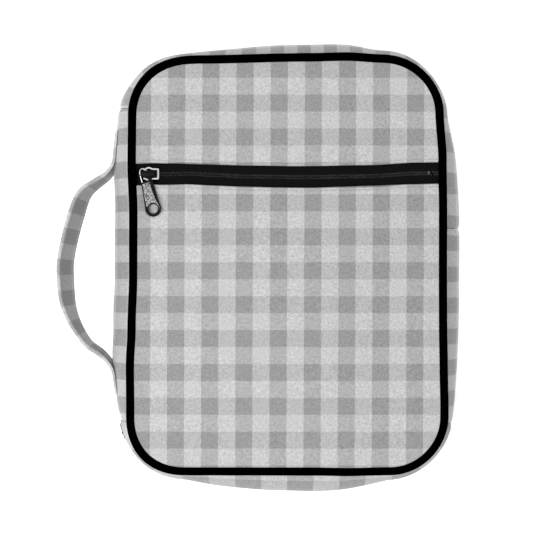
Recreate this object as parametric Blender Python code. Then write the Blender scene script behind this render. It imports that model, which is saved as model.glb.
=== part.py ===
"""A zipped cloth bag for a bible, lying on its back panel.

X runs to the right and Y up the cover as its front is read, and Z out of the front panel.
The origin is the middle of the back panel's outer face, which lies on the surface at z = 0.
"""

import math

import bmesh
import bpy
from mathutils import Matrix, Vector

MM = 0.001

# Driving sizes of the bag
PANEL_WIDTH = 194.0 * MM  # across the front piping, outside
PANEL_HEIGHT = 256.7 * MM  # along the front piping, outside
DEPTH = 60.0 * MM  # from the surface to the top of the front piping
CORNER_TOP = 36.5 * MM  # radius of the piping's outer edge
CORNER_BOTTOM = 34.5 * MM
PIPING = 4.9 * MM
PANEL_WALL = 2.0 * MM
GUSSET_WALL = 1.8 * MM
CROWN = 3.0 * MM  # how far the front panel rises in its middle
PIPING_STAND = 1.5 * MM  # how far the piping stands above the panel's edge
GAP = 0.3 * MM  # between pieces that are sewn together

# Driving sizes of the spine and its handle
SPINE_PAST_TOP = 6.0 * MM  # how far the spine reaches into the corners
SPINE_PAST_BOTTOM = 1.0 * MM
HANDLE_SPAN = 164.0 * MM  # from one sewn end to the other
HANDLE_RISE = 1.8 * MM  # of the span's middle above the middle of the bag
HANDLE_REACH = 29.4 * MM  # from the spine to the middle of the strap
HANDLE_WIDTH = 26.0 * MM
HANDLE_WALL = 2.8 * MM
HANDLE_LEAN = math.radians(8.6)  # turns the strap's inner face towards the front

# Driving sizes of the zips
ZIP_SHOWN = 12.2 * MM  # between the two cloth edges
ZIP_HEIGHT = 56.8 * MM  # of the pocket zip's ends above the middle of the bag
ZIP_BOW = 3.3 * MM  # how far the pocket zip hangs in its middle
TAPE_WALL = 0.8 * MM
TAPE_TUCK = 4.0 * MM  # the tape's hidden width behind each cloth edge
COIL_WIDTH = 4.4 * MM
COIL_HEIGHT = 2.4 * MM
SLIDER_LENGTH = 12.6 * MM
SLIDER_WIDTH = 8.6 * MM
SLIDER_PLATE = 1.0 * MM
SLIDER_POST = 3.1 * MM  # length of the post that joins the plates at the nose
SLIDER_POST_WIDTH = 2.4 * MM
BRIDGE_LENGTH = 10.2 * MM
BRIDGE_WIDTH = 3.8 * MM
BRIDGE_WALL = 1.1 * MM
PULL_LENGTH = 22.9 * MM  # from the bridge's leg to the hole in the pull
PULL_END = 5.0 * MM  # radius of the pull's round end
PULL_HEAD = 3.3 * MM  # half the width of the pull's ring
PULL_WINDOW = 2.0 * MM  # radius of the window's ends in that ring
PULL_NECK = 4.3 * MM  # from the ring's middle to the pull's shoulder
PULL_HOLE = 3.0 * MM
PULL_WALL = 1.3 * MM
PULL_SWING = math.radians(15.8)  # of the pocket's pull from straight down
SLIDER_END = 1.3 * MM  # from the pocket's slider to the piping
MAIN_SLIDER_END = 0.8 * MM  # from the main slider to the spine
GUSSET_SEAM_RIGHT = 22.0 * MM  # height of the right seam above the middle
GUSSET_SEAM_BOTTOM = 4.0 * MM  # how far the right length reaches round the bottom corner

# The walls' greatest bulge from the piping's middle line, as a share of DEPTH, where along the
# side it lies, clockwise, and how flat the side is
BULGES = {
    "left": {"most": 0.226, "peak": 0.50, "fullness": 5.0},
    "top": {"most": 0.202, "peak": 0.60, "fullness": 2.0},
    "right": {"most": 0.225, "peak": 0.45, "fullness": 2.6},
    "bottom": {"most": 0.268, "peak": 0.42, "fullness": 2.0},
}
CORNER_BULGE = 0.140
SEAM_BULGE = 0.025  # where the wall leaves the piping
WALL_FULLNESS = 2.3  # how flat the wall is across its depth
HANDLE_DENT = 0.020  # how far the sewn strap pulls the spine in
SEWN_PLACE = 0.44  # middle of each sewn end, from the middle of the handle, as a share of HANDLE_SPAN
SEWN_REACH = 0.12  # how far the dent there runs each way, as a share of HANDLE_SPAN

# How far each edge leaves the plain outline, outwards, as a share of PANEL_WIDTH
SIDE_SHIFTS = (
    # height on the bag from -1 to 1, left edge, right edge
    (-1.00, 0.000, 0.001),
    (-0.70, 0.003, 0.002),
    (-0.50, 0.006, 0.002),
    (-0.05, 0.000, 0.000),
    (0.25, -0.003, 0.000),
    (0.50, 0.000, -0.002),
    (0.75, 0.000, -0.014),
    (1.00, 0.000, -0.018),
)
END_SHIFTS = (
    # place across the bag from -1 to 1, bottom edge, top edge
    (-1.00, 0.000, -0.006),
    (-0.45, 0.000, -0.006),
    (0.15, 0.001, 0.000),
    (0.40, 0.002, 0.003),
    (1.00, 0.000, 0.000),
)

# The handle's middle line
HANDLE_LINE = (
    # place along the span from -0.5 to 0.5, distance from the spine as a share of HANDLE_REACH,
    # share of HANDLE_LEAN
    (-0.500, 0.000, 0.0),
    (-0.410, 0.000, 0.0),
    (-0.375, 0.040, 0.0),
    (-0.346, 0.180, 0.1),
    (-0.317, 0.385, 0.2),
    (-0.272, 0.620, 0.3),
    (-0.226, 0.790, 0.5),
    (-0.180, 0.900, 0.7),
    (-0.134, 0.965, 0.9),
    (-0.065, 1.000, 1.0),
    (0.004, 0.995, 1.0),
    (0.096, 0.915, 1.0),
    (0.187, 0.790, 1.0),
    (0.233, 0.685, 0.9),
    (0.264, 0.550, 0.8),
    (0.297, 0.330, 0.5),
    (0.338, 0.070, 0.2),
    (0.375, 0.000, 0.0),
    (0.500, 0.000, 0.0),
)

SLIDER_SHAPE = (
    # place from the nose at -1 to the tail at 1, share of half of SLIDER_WIDTH
    (-1.00, 0.55),
    (-0.55, 1.00),
    (0.10, 1.00),
    (1.00, 0.82),
)
COIL_SHAPE = (
    # share of half of COIL_WIDTH, share of half of COIL_HEIGHT
    (1.0, 0.0),
    (0.6, 1.0),
    (-0.6, 1.0),
    (-1.0, 0.0),
    (-0.6, -1.0),
    (0.6, -1.0),
)

# Steps of the meshes
CORNER_STEPS = 6
SIDE_STEPS = 10
END_STEPS = 8
HOLE_SIDES = 12

# Sizes that follow
HALF_X = (PANEL_WIDTH - PIPING) / 2  # to the piping's middle line
HALF_Y = (PANEL_HEIGHT - PIPING) / 2
TURN_TOP = CORNER_TOP - PIPING / 2
TURN_BOTTOM = CORNER_BOTTOM - PIPING / 2
WALL_LOW = PIPING + GAP
WALL_HIGH = DEPTH - PIPING - GAP
MIDDLE = DEPTH / 2
ZIP_LOW = MIDDLE - ZIP_SHOWN / 2
ZIP_HIGH = MIDDLE + ZIP_SHOWN / 2
PANEL_INSET = PIPING / 2 + GAP
TAPE_INSET = GUSSET_WALL + GAP * 2  # clear of the cloth's curve in front of it
COIL_REACH = COIL_WIDTH / 2 + GAP
SLIDER_TOP = COIL_HEIGHT / 2 + GAP + SLIDER_PLATE
LEG = BRIDGE_LENGTH / 2 - BRIDGE_WALL / 2


def clear_scene():
    for old in list(bpy.data.objects):
        bpy.data.objects.remove(old, do_unlink=True)


def material(name, color, roughness, metallic=0.0):
    made = bpy.data.materials.new(name)
    made.use_nodes = True
    surface = made.node_tree.nodes["Principled BSDF"]
    surface.inputs["Base Color"].default_value = (*color, 1.0)
    surface.inputs["Roughness"].default_value = roughness
    surface.inputs["Metallic"].default_value = metallic
    return made


def add_object(name, mesh_maker, finish):
    """One object from a bmesh, with its faces turned out."""
    bmesh.ops.recalc_face_normals(mesh_maker, faces=mesh_maker.faces)
    mesh = bpy.data.meshes.new(name)
    mesh_maker.to_mesh(mesh)
    mesh_maker.free()
    made = bpy.data.objects.new(name, mesh)
    bpy.context.scene.collection.objects.link(made)
    mesh.materials.append(finish)
    return made


def table_value(table, place, column):
    """The table's column at this place, eased from one row to the next."""
    if place <= table[0][0]:
        return table[0][column]
    for low, high in zip(table, table[1:]):
        if place <= high[0]:
            share = (place - low[0]) / (high[0] - low[0])
            ease = share * share * (3 - 2 * share)
            return low[column] + (high[column] - low[column]) * ease
    return table[-1][column]


def settle(x, y):
    """A point of the plain outline, moved to where the real bag's leaning edges put it."""
    across = x / HALF_X
    up = y / HALF_Y
    left = -table_value(SIDE_SHIFTS, up, 1) * PANEL_WIDTH
    right = table_value(SIDE_SHIFTS, up, 2) * PANEL_WIDTH
    bottom = -table_value(END_SHIFTS, across, 1) * PANEL_WIDTH
    top = table_value(END_SHIFTS, across, 2) * PANEL_WIDTH
    shift_x = (left * (1 - across) + right * (1 + across)) / 2
    shift_y = (bottom * (1 - up) + top * (1 + up)) / 2
    return x + shift_x, y + shift_y


def straight(start, end):
    """A straight run: its length, and its point and outward normal at a share of it."""
    line = Vector(end) - Vector(start)
    normal = Vector((-line.y, line.x)).normalized()
    return line.length, lambda share: (Vector(start) + line * share, normal)


def corner(middle, radius, first_angle):
    """A quarter turn, clockwise from the first angle."""

    def at(share):
        angle = math.radians(first_angle - 90 * share)
        normal = Vector((math.cos(angle), math.sin(angle)))
        return Vector(middle) + normal * radius, normal

    return radius * math.pi / 2, at


def runs():
    """The piping's middle line, clockwise from the foot of the spine, as named runs."""
    x, y = HALF_X, HALF_Y
    top, low = TURN_TOP, TURN_BOTTOM
    return (
        ("left", SIDE_STEPS, *straight((-x, low - y), (-x, y - top))),
        ("top_left", CORNER_STEPS, *corner((top - x, y - top), top, 180)),
        ("top", END_STEPS, *straight((top - x, y), (x - top, y))),
        ("top_right", CORNER_STEPS, *corner((x - top, y - top), top, 90)),
        ("right", SIDE_STEPS, *straight((x, y - top), (x, low - y))),
        ("bottom_right", CORNER_STEPS, *corner((x - low, low - y), low, 0)),
        ("bottom", END_STEPS, *straight((x - low, -y), (low - x, -y))),
        ("bottom_left", CORNER_STEPS, *corner((low - x, low - y), low, -90)),
    )


RUNS = runs()
STARTS = {}
ROUND = 0.0
for run_name, _, run_length, _ in RUNS:
    STARTS[run_name] = ROUND
    ROUND += run_length
SPINE_LOW = -SPINE_PAST_BOTTOM
SPINE_HIGH = STARTS["top_left"] + SPINE_PAST_TOP
RIGHT_SEAM = STARTS["right"] + HALF_Y - TURN_TOP - GUSSET_SEAM_RIGHT
BOTTOM_SEAM = STARTS["bottom_right"] + GUSSET_SEAM_BOTTOM
MAIN_SLIDER = ROUND + SPINE_LOW - MAIN_SLIDER_END - SLIDER_LENGTH / 2


def place_on_outline(distance):
    """The run's name, the share along it, the point and the normal at a distance round the bag."""
    distance %= ROUND
    for name, _, length, at in reversed(RUNS):
        if distance >= STARTS[name]:
            share = (distance - STARTS[name]) / length
            return name, share, *at(share)
    raise ValueError("the outline has no such place")


def stations(start, end):
    """Distances round the bag from start to end, with every shared step between them."""
    steps = []
    for name, count, length, _ in RUNS:
        steps += [STARTS[name] + length * step / count for step in range(count)]
    between = [step + lap for lap in (-ROUND, 0, ROUND) for step in steps]
    margin = GAP * 2
    return [start, *sorted(d for d in between if start + margin < d < end - margin), end]


def bulge(name, share, height):
    """How far the wall stands out from the piping's middle line at its widest."""
    if name not in BULGES:
        return CORNER_BULGE * DEPTH
    side = BULGES[name]
    peak = side["peak"]
    from_peak = 1 - share / peak if share < peak else (share - peak) / (1 - peak)
    swell = 1 - from_peak ** side["fullness"]
    reach = CORNER_BULGE + (side["most"] - CORNER_BULGE) * swell
    if name == "left":
        reach -= HANDLE_DENT * handle_seat(height)
    return reach * DEPTH


def handle_seat(height):
    """From 0 to 1, how firmly the strap is sewn to the spine at this height."""
    along = (height - HANDLE_RISE) / HANDLE_SPAN
    away = abs(abs(along) - SEWN_PLACE) / SEWN_REACH
    return max(0.0, 1 - away * away)


def wall_reach(distance, z):
    """The outer wall's distance from the piping's middle line at a height above the surface."""
    name, share, point, _ = place_on_outline(distance)
    level = 2 * (z - WALL_LOW) / (WALL_HIGH - WALL_LOW) - 1
    swell = 1 - min(1.0, abs(level)) ** WALL_FULLNESS
    seam = SEAM_BULGE * DEPTH
    return seam + (bulge(name, share, point.y) - seam) * swell


def outline_point(distance, reach, z):
    _, _, point, normal = place_on_outline(distance)
    x, y = settle(*(point + normal * reach))
    return Vector((x, y, z))


def loft(name, sections, finish, ring=False):
    """A body through closed sections of equal counts, capped at its ends unless it is a ring."""
    made = bmesh.new()
    loops = [[made.verts.new(point) for point in section] for section in sections]
    count = len(loops[0])
    pairs = list(zip(loops, loops[1:]))
    if ring:
        pairs.append((loops[-1], loops[0]))
    for near, far in pairs:
        for index in range(count):
            after = (index + 1) % count
            made.faces.new((near[index], near[after], far[after], far[index]))
    if not ring:
        made.faces.new(loops[0])
        made.faces.new(loops[-1])
    return add_object(name, made, finish)


def band(name, start, end, heights, inset, wall, finish):
    """A strip of the side wall between two places round the bag."""
    sections = []
    for distance in stations(start, end):
        outer = [outline_point(distance, wall_reach(distance, z) - inset, z) for z in heights]
        inner = [outline_point(distance, wall_reach(distance, z) - inset - wall, z) for z in heights]
        sections.append(outer + inner[::-1])
    return loft(name, sections, finish)


def spread(low, high, count):
    return [low + (high - low) * step / count for step in range(count + 1)]


def piping(name, height, finish):
    """The piping round one panel, with a flat along its top and its foot."""
    radius = PIPING / 2 / math.cos(math.pi / 8)
    sections = []
    for distance in stations(0, ROUND)[:-1]:
        section = []
        for side in range(8):
            angle = math.pi * (2 * side + 1) / 8
            reach = radius * math.cos(angle)
            section.append(outline_point(distance, reach, height + radius * math.sin(angle)))
        sections.append(section)
    return loft(name, sections, finish, ring=True)


def panel_edge_rows():
    """Half-widths and heights of the panel's rows, from its foot to its top."""
    rows = []
    for step in range(CORNER_STEPS + 1):
        angle = math.pi / 2 * (step / CORNER_STEPS - 1)
        radius = TURN_BOTTOM - PANEL_INSET
        x = HALF_X - TURN_BOTTOM + radius * math.cos(angle)
        rows.append((x, TURN_BOTTOM - HALF_Y + radius * math.sin(angle)))
    for y in spread(TURN_BOTTOM - HALF_Y, HALF_Y - TURN_TOP, SIDE_STEPS)[1:-1]:
        rows.append((HALF_X - PANEL_INSET, y))
    for step in range(CORNER_STEPS + 1):
        angle = math.pi / 2 * step / CORNER_STEPS
        radius = TURN_TOP - PANEL_INSET
        x = HALF_X - TURN_TOP + radius * math.cos(angle)
        rows.append((x, HALF_Y - TURN_TOP + radius * math.sin(angle)))
    return rows


def zip_line(x):
    """Height of the pocket zip's middle at this place across the bag."""
    return ZIP_HEIGHT - ZIP_BOW * (1 - (x / HALF_X) ** 2)


def panel_top(x, y):
    """Height of the front panel's outer face above the surface."""
    crown = CROWN * (1 - (x / HALF_X) ** 2) * (1 - (y / HALF_Y) ** 2)
    return DEPTH - PIPING_STAND + crown


def slab(name, rows, wall, finish):
    """A sheet from rows of points on its upper face, extruded down by its wall."""
    made = bmesh.new()
    grid = [[made.verts.new(point) for point in row] for row in rows]
    for near, far in zip(grid, grid[1:]):
        for index in range(len(near) - 1):
            made.faces.new((near[index], near[index + 1], far[index + 1], far[index]))
    extruded = bmesh.ops.extrude_face_region(made, geom=list(made.faces), use_keep_orig=True)
    moved = [item for item in extruded["geom"] if isinstance(item, bmesh.types.BMVert)]
    bmesh.ops.translate(made, verts=moved, vec=(0, 0, -wall))
    return add_object(name, made, finish)


def panel_row(half, y, bend, height):
    """One row of a panel's upper face, which may follow the zip's bow."""
    row = []
    for share in spread(-1, 1, END_STEPS):
        x = half * share
        bowed = y + (zip_line(x) - ZIP_HEIGHT) * bend
        row.append((*settle(x, bowed), height(x, bowed)))
    return row


def front_panels(finish):
    """The strip above the pocket zip, and the pocket's front below it."""
    side = HALF_X - PANEL_INSET
    above = ZIP_HEIGHT + ZIP_SHOWN / 2
    below = ZIP_HEIGHT - ZIP_SHOWN / 2
    margin = ZIP_SHOWN / 2
    rows = panel_edge_rows()
    upper = [(side, above, 1.0)]
    upper += [(half, y, 0.0) for half, y in rows if y > above + margin]
    lower = [(half, y, 0.0) for half, y in rows if y < below - margin]
    lower += [(side, below, 1.0)]
    for name, parts in (("front_panel_top", upper), ("front_pocket", lower)):
        slab(name, [panel_row(*part, panel_top) for part in parts], PANEL_WALL, finish)


def back_panel(finish):
    rows = [panel_row(half, y, 0.0, lambda x, y: PANEL_WALL) for half, y in panel_edge_rows()]
    slab("back_panel", rows, PANEL_WALL, finish)


def gusset(finish):
    """The side wall's front and back halves, each of three lengths sewn end to end."""
    lengths = {
        "top": (SPINE_HIGH, RIGHT_SEAM),
        "right": (RIGHT_SEAM, BOTTOM_SEAM),
        "bottom": (BOTTOM_SEAM, ROUND + SPINE_LOW),
    }
    halves = {"front": (ZIP_HIGH, WALL_HIGH), "back": (WALL_LOW, ZIP_LOW)}
    for half, (low, high) in halves.items():
        for length, (start, end) in lengths.items():
            name = f"gusset_{half}_{length}"
            heights = spread(low, high, 4)
            band(name, start + GAP / 2, end - GAP / 2, heights, 0, GUSSET_WALL, finish)


def spine(finish):
    heights = spread(WALL_LOW, WALL_HIGH, 8)
    band("spine", SPINE_LOW + GAP / 2, SPINE_HIGH - GAP / 2, heights, 0, GUSSET_WALL, finish)


def handle(finish):
    """The flat padded strap, lying on the spine where it is sewn and standing off between."""
    middles = []
    for place, share, lean_share in HANDLE_LINE:
        y = HANDLE_RISE + place * HANDLE_SPAN
        distance = y - TURN_BOTTOM + HALF_Y
        seat = wall_reach(distance, MIDDLE) + GAP + HANDLE_WALL / 2
        middle = outline_point(distance, seat + share * HANDLE_REACH, MIDDLE)
        middles.append((middle, distance, share, lean_share))
    sections = []
    last = len(middles) - 1
    for index, (middle, distance, share, lean_share) in enumerate(middles):
        ahead = middles[min(index + 1, last)][0] - middles[max(index - 1, 0)][0]
        out = Vector((-ahead.y, ahead.x, 0)).normalized()
        near_face, far_face = [], []
        free = min(1.0, share * 2)
        for across in spread(-0.5, 0.5, 4):
            rise = across * HANDLE_WIDTH
            lean = math.sin(HANDLE_LEAN * lean_share) * rise
            curl = wall_reach(distance, MIDDLE) - wall_reach(distance, MIDDLE + rise)
            place = middle + Vector((0, 0, rise)) + out * (lean - curl * (1 - free))
            near_face.append(place - out * HANDLE_WALL / 2)
            far_face.append(place + out * HANDLE_WALL / 2)
        sections.append(near_face + far_face[::-1])
    return loft("handle", sections, finish)


def coil_section(middle, out, across):
    """A flat six-sided section round the two rows of teeth."""
    half_width, half_height = COIL_WIDTH / 2, COIL_HEIGHT / 2
    return [middle + across * half_width * u + out * half_height * v for u, v in COIL_SHAPE]


def main_zip(tape_finish, coil_finish):
    """The zip round the middle of the side wall, its tapes tucked behind the cloth and the spine."""
    start = SPINE_HIGH - TAPE_TUCK
    end = ROUND + SPINE_LOW + TAPE_TUCK
    above = spread(MIDDLE + COIL_REACH, ZIP_HIGH + TAPE_TUCK, 3)
    below = spread(ZIP_LOW - TAPE_TUCK, MIDDLE - COIL_REACH, 3)
    band("main_zip_tape_front", start, end, above, TAPE_INSET, TAPE_WALL, tape_finish)
    band("main_zip_tape_back", start, end, below, TAPE_INSET, TAPE_WALL, tape_finish)
    up = Vector((0, 0, 1))
    sections = []
    for distance in stations(SPINE_HIGH + GAP, MAIN_SLIDER - SLIDER_LENGTH * 0.75):
        _, _, _, normal = place_on_outline(distance)
        sections.append(coil_section(main_coil_point(distance), Vector((*normal, 0)), up))
    middle, along, out = main_slider_frame()
    for reach in (SLIDER_LENGTH / 2 + GAP, GAP - SLIDER_LENGTH / 2 + SLIDER_POST):
        sections.append(coil_section(middle + along * reach, out, up))
    loft("main_zip_coil", sections, coil_finish)


def main_coil_point(distance):
    reach = wall_reach(distance, MIDDLE) - TAPE_INSET - TAPE_WALL / 2
    return outline_point(distance, reach, MIDDLE)


def main_slider_frame():
    """The main slider's middle, the way to its closed end and the way out of the wall."""
    tail = main_coil_point(MAIN_SLIDER - SLIDER_LENGTH / 2)
    nose = main_coil_point(MAIN_SLIDER + SLIDER_LENGTH / 2)
    middle = (main_coil_point(MAIN_SLIDER) + (tail + nose) / 2) / 2
    along = (tail - nose).normalized()
    return middle, along, along.cross(Vector((0, 0, 1))).normalized()


def pocket_slider_place():
    """The pocket slider's middle, on the coil's middle line."""
    x = PANEL_INSET - HALF_X + SLIDER_END + SLIDER_LENGTH / 2
    return pocket_coil_point(x)


def pocket_coil_point(x):
    y = zip_line(x)
    z = panel_top(x, y) - PANEL_WALL - GAP - TAPE_WALL / 2
    return Vector((*settle(x, y), z))


def pocket_zip(tape_finish, coil_finish):
    """The zip across the front, its tapes tucked behind the two cloth edges."""
    side = HALF_X - PANEL_INSET
    for name, turn in (("pocket_zip_tape_upper", 1), ("pocket_zip_tape_lower", -1)):
        rows = []
        for away in (COIL_REACH, ZIP_SHOWN / 2, ZIP_SHOWN / 2 + TAPE_TUCK):
            row = []
            for share in spread(-1, 1, END_STEPS):
                x = side * share
                y = zip_line(x) + turn * away
                row.append((*settle(x, y), panel_top(x, y) - PANEL_WALL - GAP))
            rows.append(row)
        slab(name, rows, TAPE_WALL, tape_finish)
    first = PANEL_INSET - HALF_X + SLIDER_END + SLIDER_POST + GAP
    sections = []
    for x in spread(first, side, END_STEPS * 2):
        sections.append(coil_section(pocket_coil_point(x), Vector((0, 0, 1)), Vector((0, 1, 0))))
    loft("pocket_zip_coil", sections, coil_finish)


def prism(name, corners, low, high, finish):
    """A flat outline in X and Y, extruded along Z."""
    made = bmesh.new()
    made.faces.new([made.verts.new((x, y, low)) for x, y in corners])
    extruded = bmesh.ops.extrude_face_region(made, geom=list(made.faces), use_keep_orig=True)
    moved = [item for item in extruded["geom"] if isinstance(item, bmesh.types.BMVert)]
    bmesh.ops.translate(made, verts=moved, vec=(0, 0, high - low))
    return add_object(name, made, finish)


def helper(target, guide, operation):
    """Joins or cuts the target with a guide, which is hidden from a render."""
    guide.hide_render = True
    guide.display_type = "WIRE"
    guide.parent = target
    step = target.modifiers.new(guide.name, "BOOLEAN")
    step.operation = operation
    step.solver = "EXACT"
    step.object = guide


def box_outline(left, right, low, high):
    return ((left, low), (right, low), (right, high), (left, high))


def slider(name, finish):
    """Two plates joined by a post at the nose, with a bridge along the top. Its middle is the coil's."""
    half = SLIDER_LENGTH / 2
    side = [(half * place, -SLIDER_WIDTH / 2 * share) for place, share in SLIDER_SHAPE]
    outline = side + [(x, -y) for x, y in reversed(side)]
    flange = TAPE_WALL / 2 + GAP * 2
    ceiling = COIL_HEIGHT / 2 + GAP
    body = prism(name, outline, flange, SLIDER_TOP, finish)
    channel_sides = box_outline(-SLIDER_LENGTH, SLIDER_LENGTH, -COIL_REACH, COIL_REACH)
    channel = prism(name + "_channel", channel_sides, -SLIDER_LENGTH, ceiling, finish)
    helper(body, channel, "DIFFERENCE")
    floor = prism(name + "_floor", outline, -SLIDER_TOP, -ceiling, finish)
    helper(body, floor, "UNION")
    sunk = SLIDER_PLATE / 2
    post_half = SLIDER_POST_WIDTH / 2
    post_sides = box_outline(sunk / 2 - half, SLIDER_POST - half, -post_half, post_half)
    post = prism(name + "_post", post_sides, -ceiling - sunk, ceiling + sunk, finish)
    helper(body, post, "UNION")
    helper(body, bridge(name + "_bridge", sunk, finish), "UNION")
    return body


def bridge(name, sunk, finish):
    """The low arch over the slider, its feet sunk into the plate."""
    foot, crest = SLIDER_TOP - sunk, SLIDER_TOP + PULL_WALL + 3 * GAP
    half, wall = BRIDGE_LENGTH / 2, BRIDGE_WALL
    inner = half - wall
    arch = (
        (-half, foot), (-inner, foot), (-inner, crest), (inner, crest), (inner, foot), (half, foot),
        (half, crest), (inner, crest + wall), (-inner, crest + wall), (-half, crest),
    )
    made = prism(name, arch, -BRIDGE_WIDTH / 2, BRIDGE_WIDTH / 2, finish)
    made.data.transform(Matrix.Rotation(math.pi / 2, 4, "X"))
    return made


def arc_points(middle, radius, first, last, count):
    points = []
    for angle in spread(math.radians(first), math.radians(last), count):
        points.append((middle[0] + radius * math.cos(angle), middle[1] + radius * math.sin(angle)))
    return points


def pull(name, finish):
    """A flat pull with a ring round the bridge's leg, at the origin, and a hole in its round end."""
    outline = arc_points((0, PULL_WINDOW), PULL_HEAD, 0, 180, END_STEPS)
    outline += [(-PULL_HEAD, -PULL_NECK)]
    outline += arc_points((0, -PULL_LENGTH), PULL_END, 180, 360, END_STEPS)
    outline += [(PULL_HEAD, -PULL_NECK)]
    body = prism(name, outline, 0, PULL_WALL, finish)
    window_end = (BRIDGE_WIDTH / 2 + GAP * 2) - PULL_WINDOW / 2
    window = arc_points((0, window_end), PULL_WINDOW, 0, 180, CORNER_STEPS)
    window += arc_points((0, -window_end), PULL_WINDOW, 180, 360, CORNER_STEPS)
    holes = {
        "window": window,
        "hole": arc_points((0, -PULL_LENGTH), PULL_HOLE, 0, 360, HOLE_SIDES)[:-1],
    }
    for place, corners in holes.items():
        helper(body, prism(f"{name}_{place}", corners, -PULL_WALL, 2 * PULL_WALL, finish), "DIFFERENCE")
    return body


def set_on(child, parent, location, turn):
    child.parent = parent
    child.location = location
    child.rotation_euler = turn


def pocket_slider(body_finish, pull_finish):
    """The pocket's slider at the left end of its zip, its pull lying on the pocket."""
    body = slider("pocket_zip_slider", body_finish)
    middle = pocket_slider_place()
    body.location = middle
    tab = pull("pocket_zip_pull", pull_finish)
    end_x = middle.x - LEG + math.sin(PULL_SWING) * PULL_LENGTH + PULL_END
    end_y = middle.y - math.cos(PULL_SWING) * PULL_LENGTH
    rest = panel_top(end_x, end_y) + GAP - middle.z
    lift = SLIDER_TOP + GAP
    slope = max(0.0, (rest - lift) / PULL_LENGTH)
    place = (-LEG, 0, lift + slope * (PULL_WINDOW + PULL_HEAD))
    set_on(tab, body, place, (-math.atan(slope), 0, PULL_SWING))


def main_slider(body_finish, pull_finish):
    """The main zip's slider at the foot of the spine, its pull hanging to the surface side."""
    body = slider("main_zip_slider", body_finish)
    middle, along, out = main_slider_frame()
    turn = Matrix((along, Vector((0, 0, 1)), out)).transposed()
    body.location = middle
    body.rotation_euler = turn.to_euler()
    tab = pull("main_zip_pull", pull_finish)
    set_on(tab, body, (-LEG, 0, SLIDER_TOP + GAP), (0, 0, 0))


def build():
    clear_scene()
    cloth = material("gingham_cloth", (0.47, 0.47, 0.47), 0.85)
    black_cloth = material("black_piping", (0.012, 0.012, 0.012), 0.6)
    tape = material("black_tape", (0.015, 0.015, 0.015), 0.8)
    coil = material("black_coil", (0.02, 0.02, 0.02), 0.45)
    metal = material("slider_metal", (0.62, 0.62, 0.62), 0.3, 1.0)
    front_panels(cloth)
    back_panel(cloth)
    piping("front_piping", DEPTH - PIPING / 2, black_cloth)
    piping("back_piping", PIPING / 2, black_cloth)
    gusset(cloth)
    spine(cloth)
    handle(cloth)
    main_zip(tape, coil)
    pocket_zip(tape, coil)
    pocket_slider(metal, metal)
    main_slider(metal, metal)


build()
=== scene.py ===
"""Dresses the packed bible bag: gingham cloth, black piping, a strap handle, zips and stitching.

Every piece is made in the frame's own metres, so it lies where the packed solid lies.
"""

import math

import bmesh
import bpy
from bpy.props import FloatProperty, FloatVectorProperty, PointerProperty
from bpy.types import Operator, Panel, PropertyGroup
from mathutils import Euler, Matrix, Vector, noise


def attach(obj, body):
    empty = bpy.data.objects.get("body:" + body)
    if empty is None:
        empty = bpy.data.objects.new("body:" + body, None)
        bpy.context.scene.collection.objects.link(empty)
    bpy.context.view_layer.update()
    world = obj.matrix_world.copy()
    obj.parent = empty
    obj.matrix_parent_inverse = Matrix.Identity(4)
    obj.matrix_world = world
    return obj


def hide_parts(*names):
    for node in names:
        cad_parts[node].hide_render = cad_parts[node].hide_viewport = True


bl_info = {
    "name": "Zipped Bible Bag",
    "version": (1, 0, 0),
    "blender": (4, 5, 0),
    "location": "3D View > Sidebar > Bible Bag",
    "description": "Cloth, piping, zips, stitching and a stage for a zipped bible bag",
    "category": "Object",
}

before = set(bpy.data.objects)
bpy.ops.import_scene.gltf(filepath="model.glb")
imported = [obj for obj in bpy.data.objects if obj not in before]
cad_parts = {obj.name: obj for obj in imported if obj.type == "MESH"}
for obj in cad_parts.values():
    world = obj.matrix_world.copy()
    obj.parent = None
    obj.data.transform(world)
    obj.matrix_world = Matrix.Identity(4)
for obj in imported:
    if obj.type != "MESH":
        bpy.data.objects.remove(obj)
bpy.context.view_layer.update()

MM = 0.001
GAP = 0.3 * MM  # between pieces that are sewn together

# The walls' greatest bulge from the piping's middle line, as a share of the depth, where along
# the side it lies, clockwise, and how flat the side is
BULGES = {
    "left": {"first": 0.135, "most": 0.226, "last": 0.185, "peak": 0.50, "fullness": 5.0},
    "top": {"first": 0.120, "most": 0.187, "last": 0.138, "peak": 0.65, "fullness": 2.0},
    "right": {"first": 0.126, "most": 0.215, "last": 0.128, "peak": 0.45, "fullness": 2.6},
    "bottom": {"first": 0.142, "most": 0.259, "last": 0.135, "peak": 0.42, "fullness": 2.0},
}
# The same in each corner: where it starts, in its middle and where it ends
CORNER_BULGES = {
    "top_left": (0.185, 0.140, 0.120),
    "top_right": (0.138, 0.130, 0.126),
    "bottom_right": (0.128, 0.130, 0.142),
    "bottom_left": (0.135, 0.112, 0.135),
}
SEAM_BULGE = 0.025
# How far the bottom corner beside the spine is pushed out, and where its push starts
FOOT_PUSH = 0.0045
FOOT_START_X = 0.66
FOOT_START_Y = 0.745
WALL_FULLNESS = 2.3
STITCH_INSET = 1.8 * MM  # from a folded cloth edge to its stitches
STRAP_INSET = 2.6 * MM  # from the strap's edge to its stitches
STITCH_SHARE = 0.78  # of the pitch
CREASE = math.radians(50)  # the sharpest turn that is shaded smooth
PIPING_SIDES = 20
STRAP_SIDES = 48
FLOOR_HALF = 3.0
FLOOR_DROP = 0.2 * MM
HANDLE_DENT = 0.020
SEWN_PLACE = 0.44
SEWN_REACH = 0.12

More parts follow.
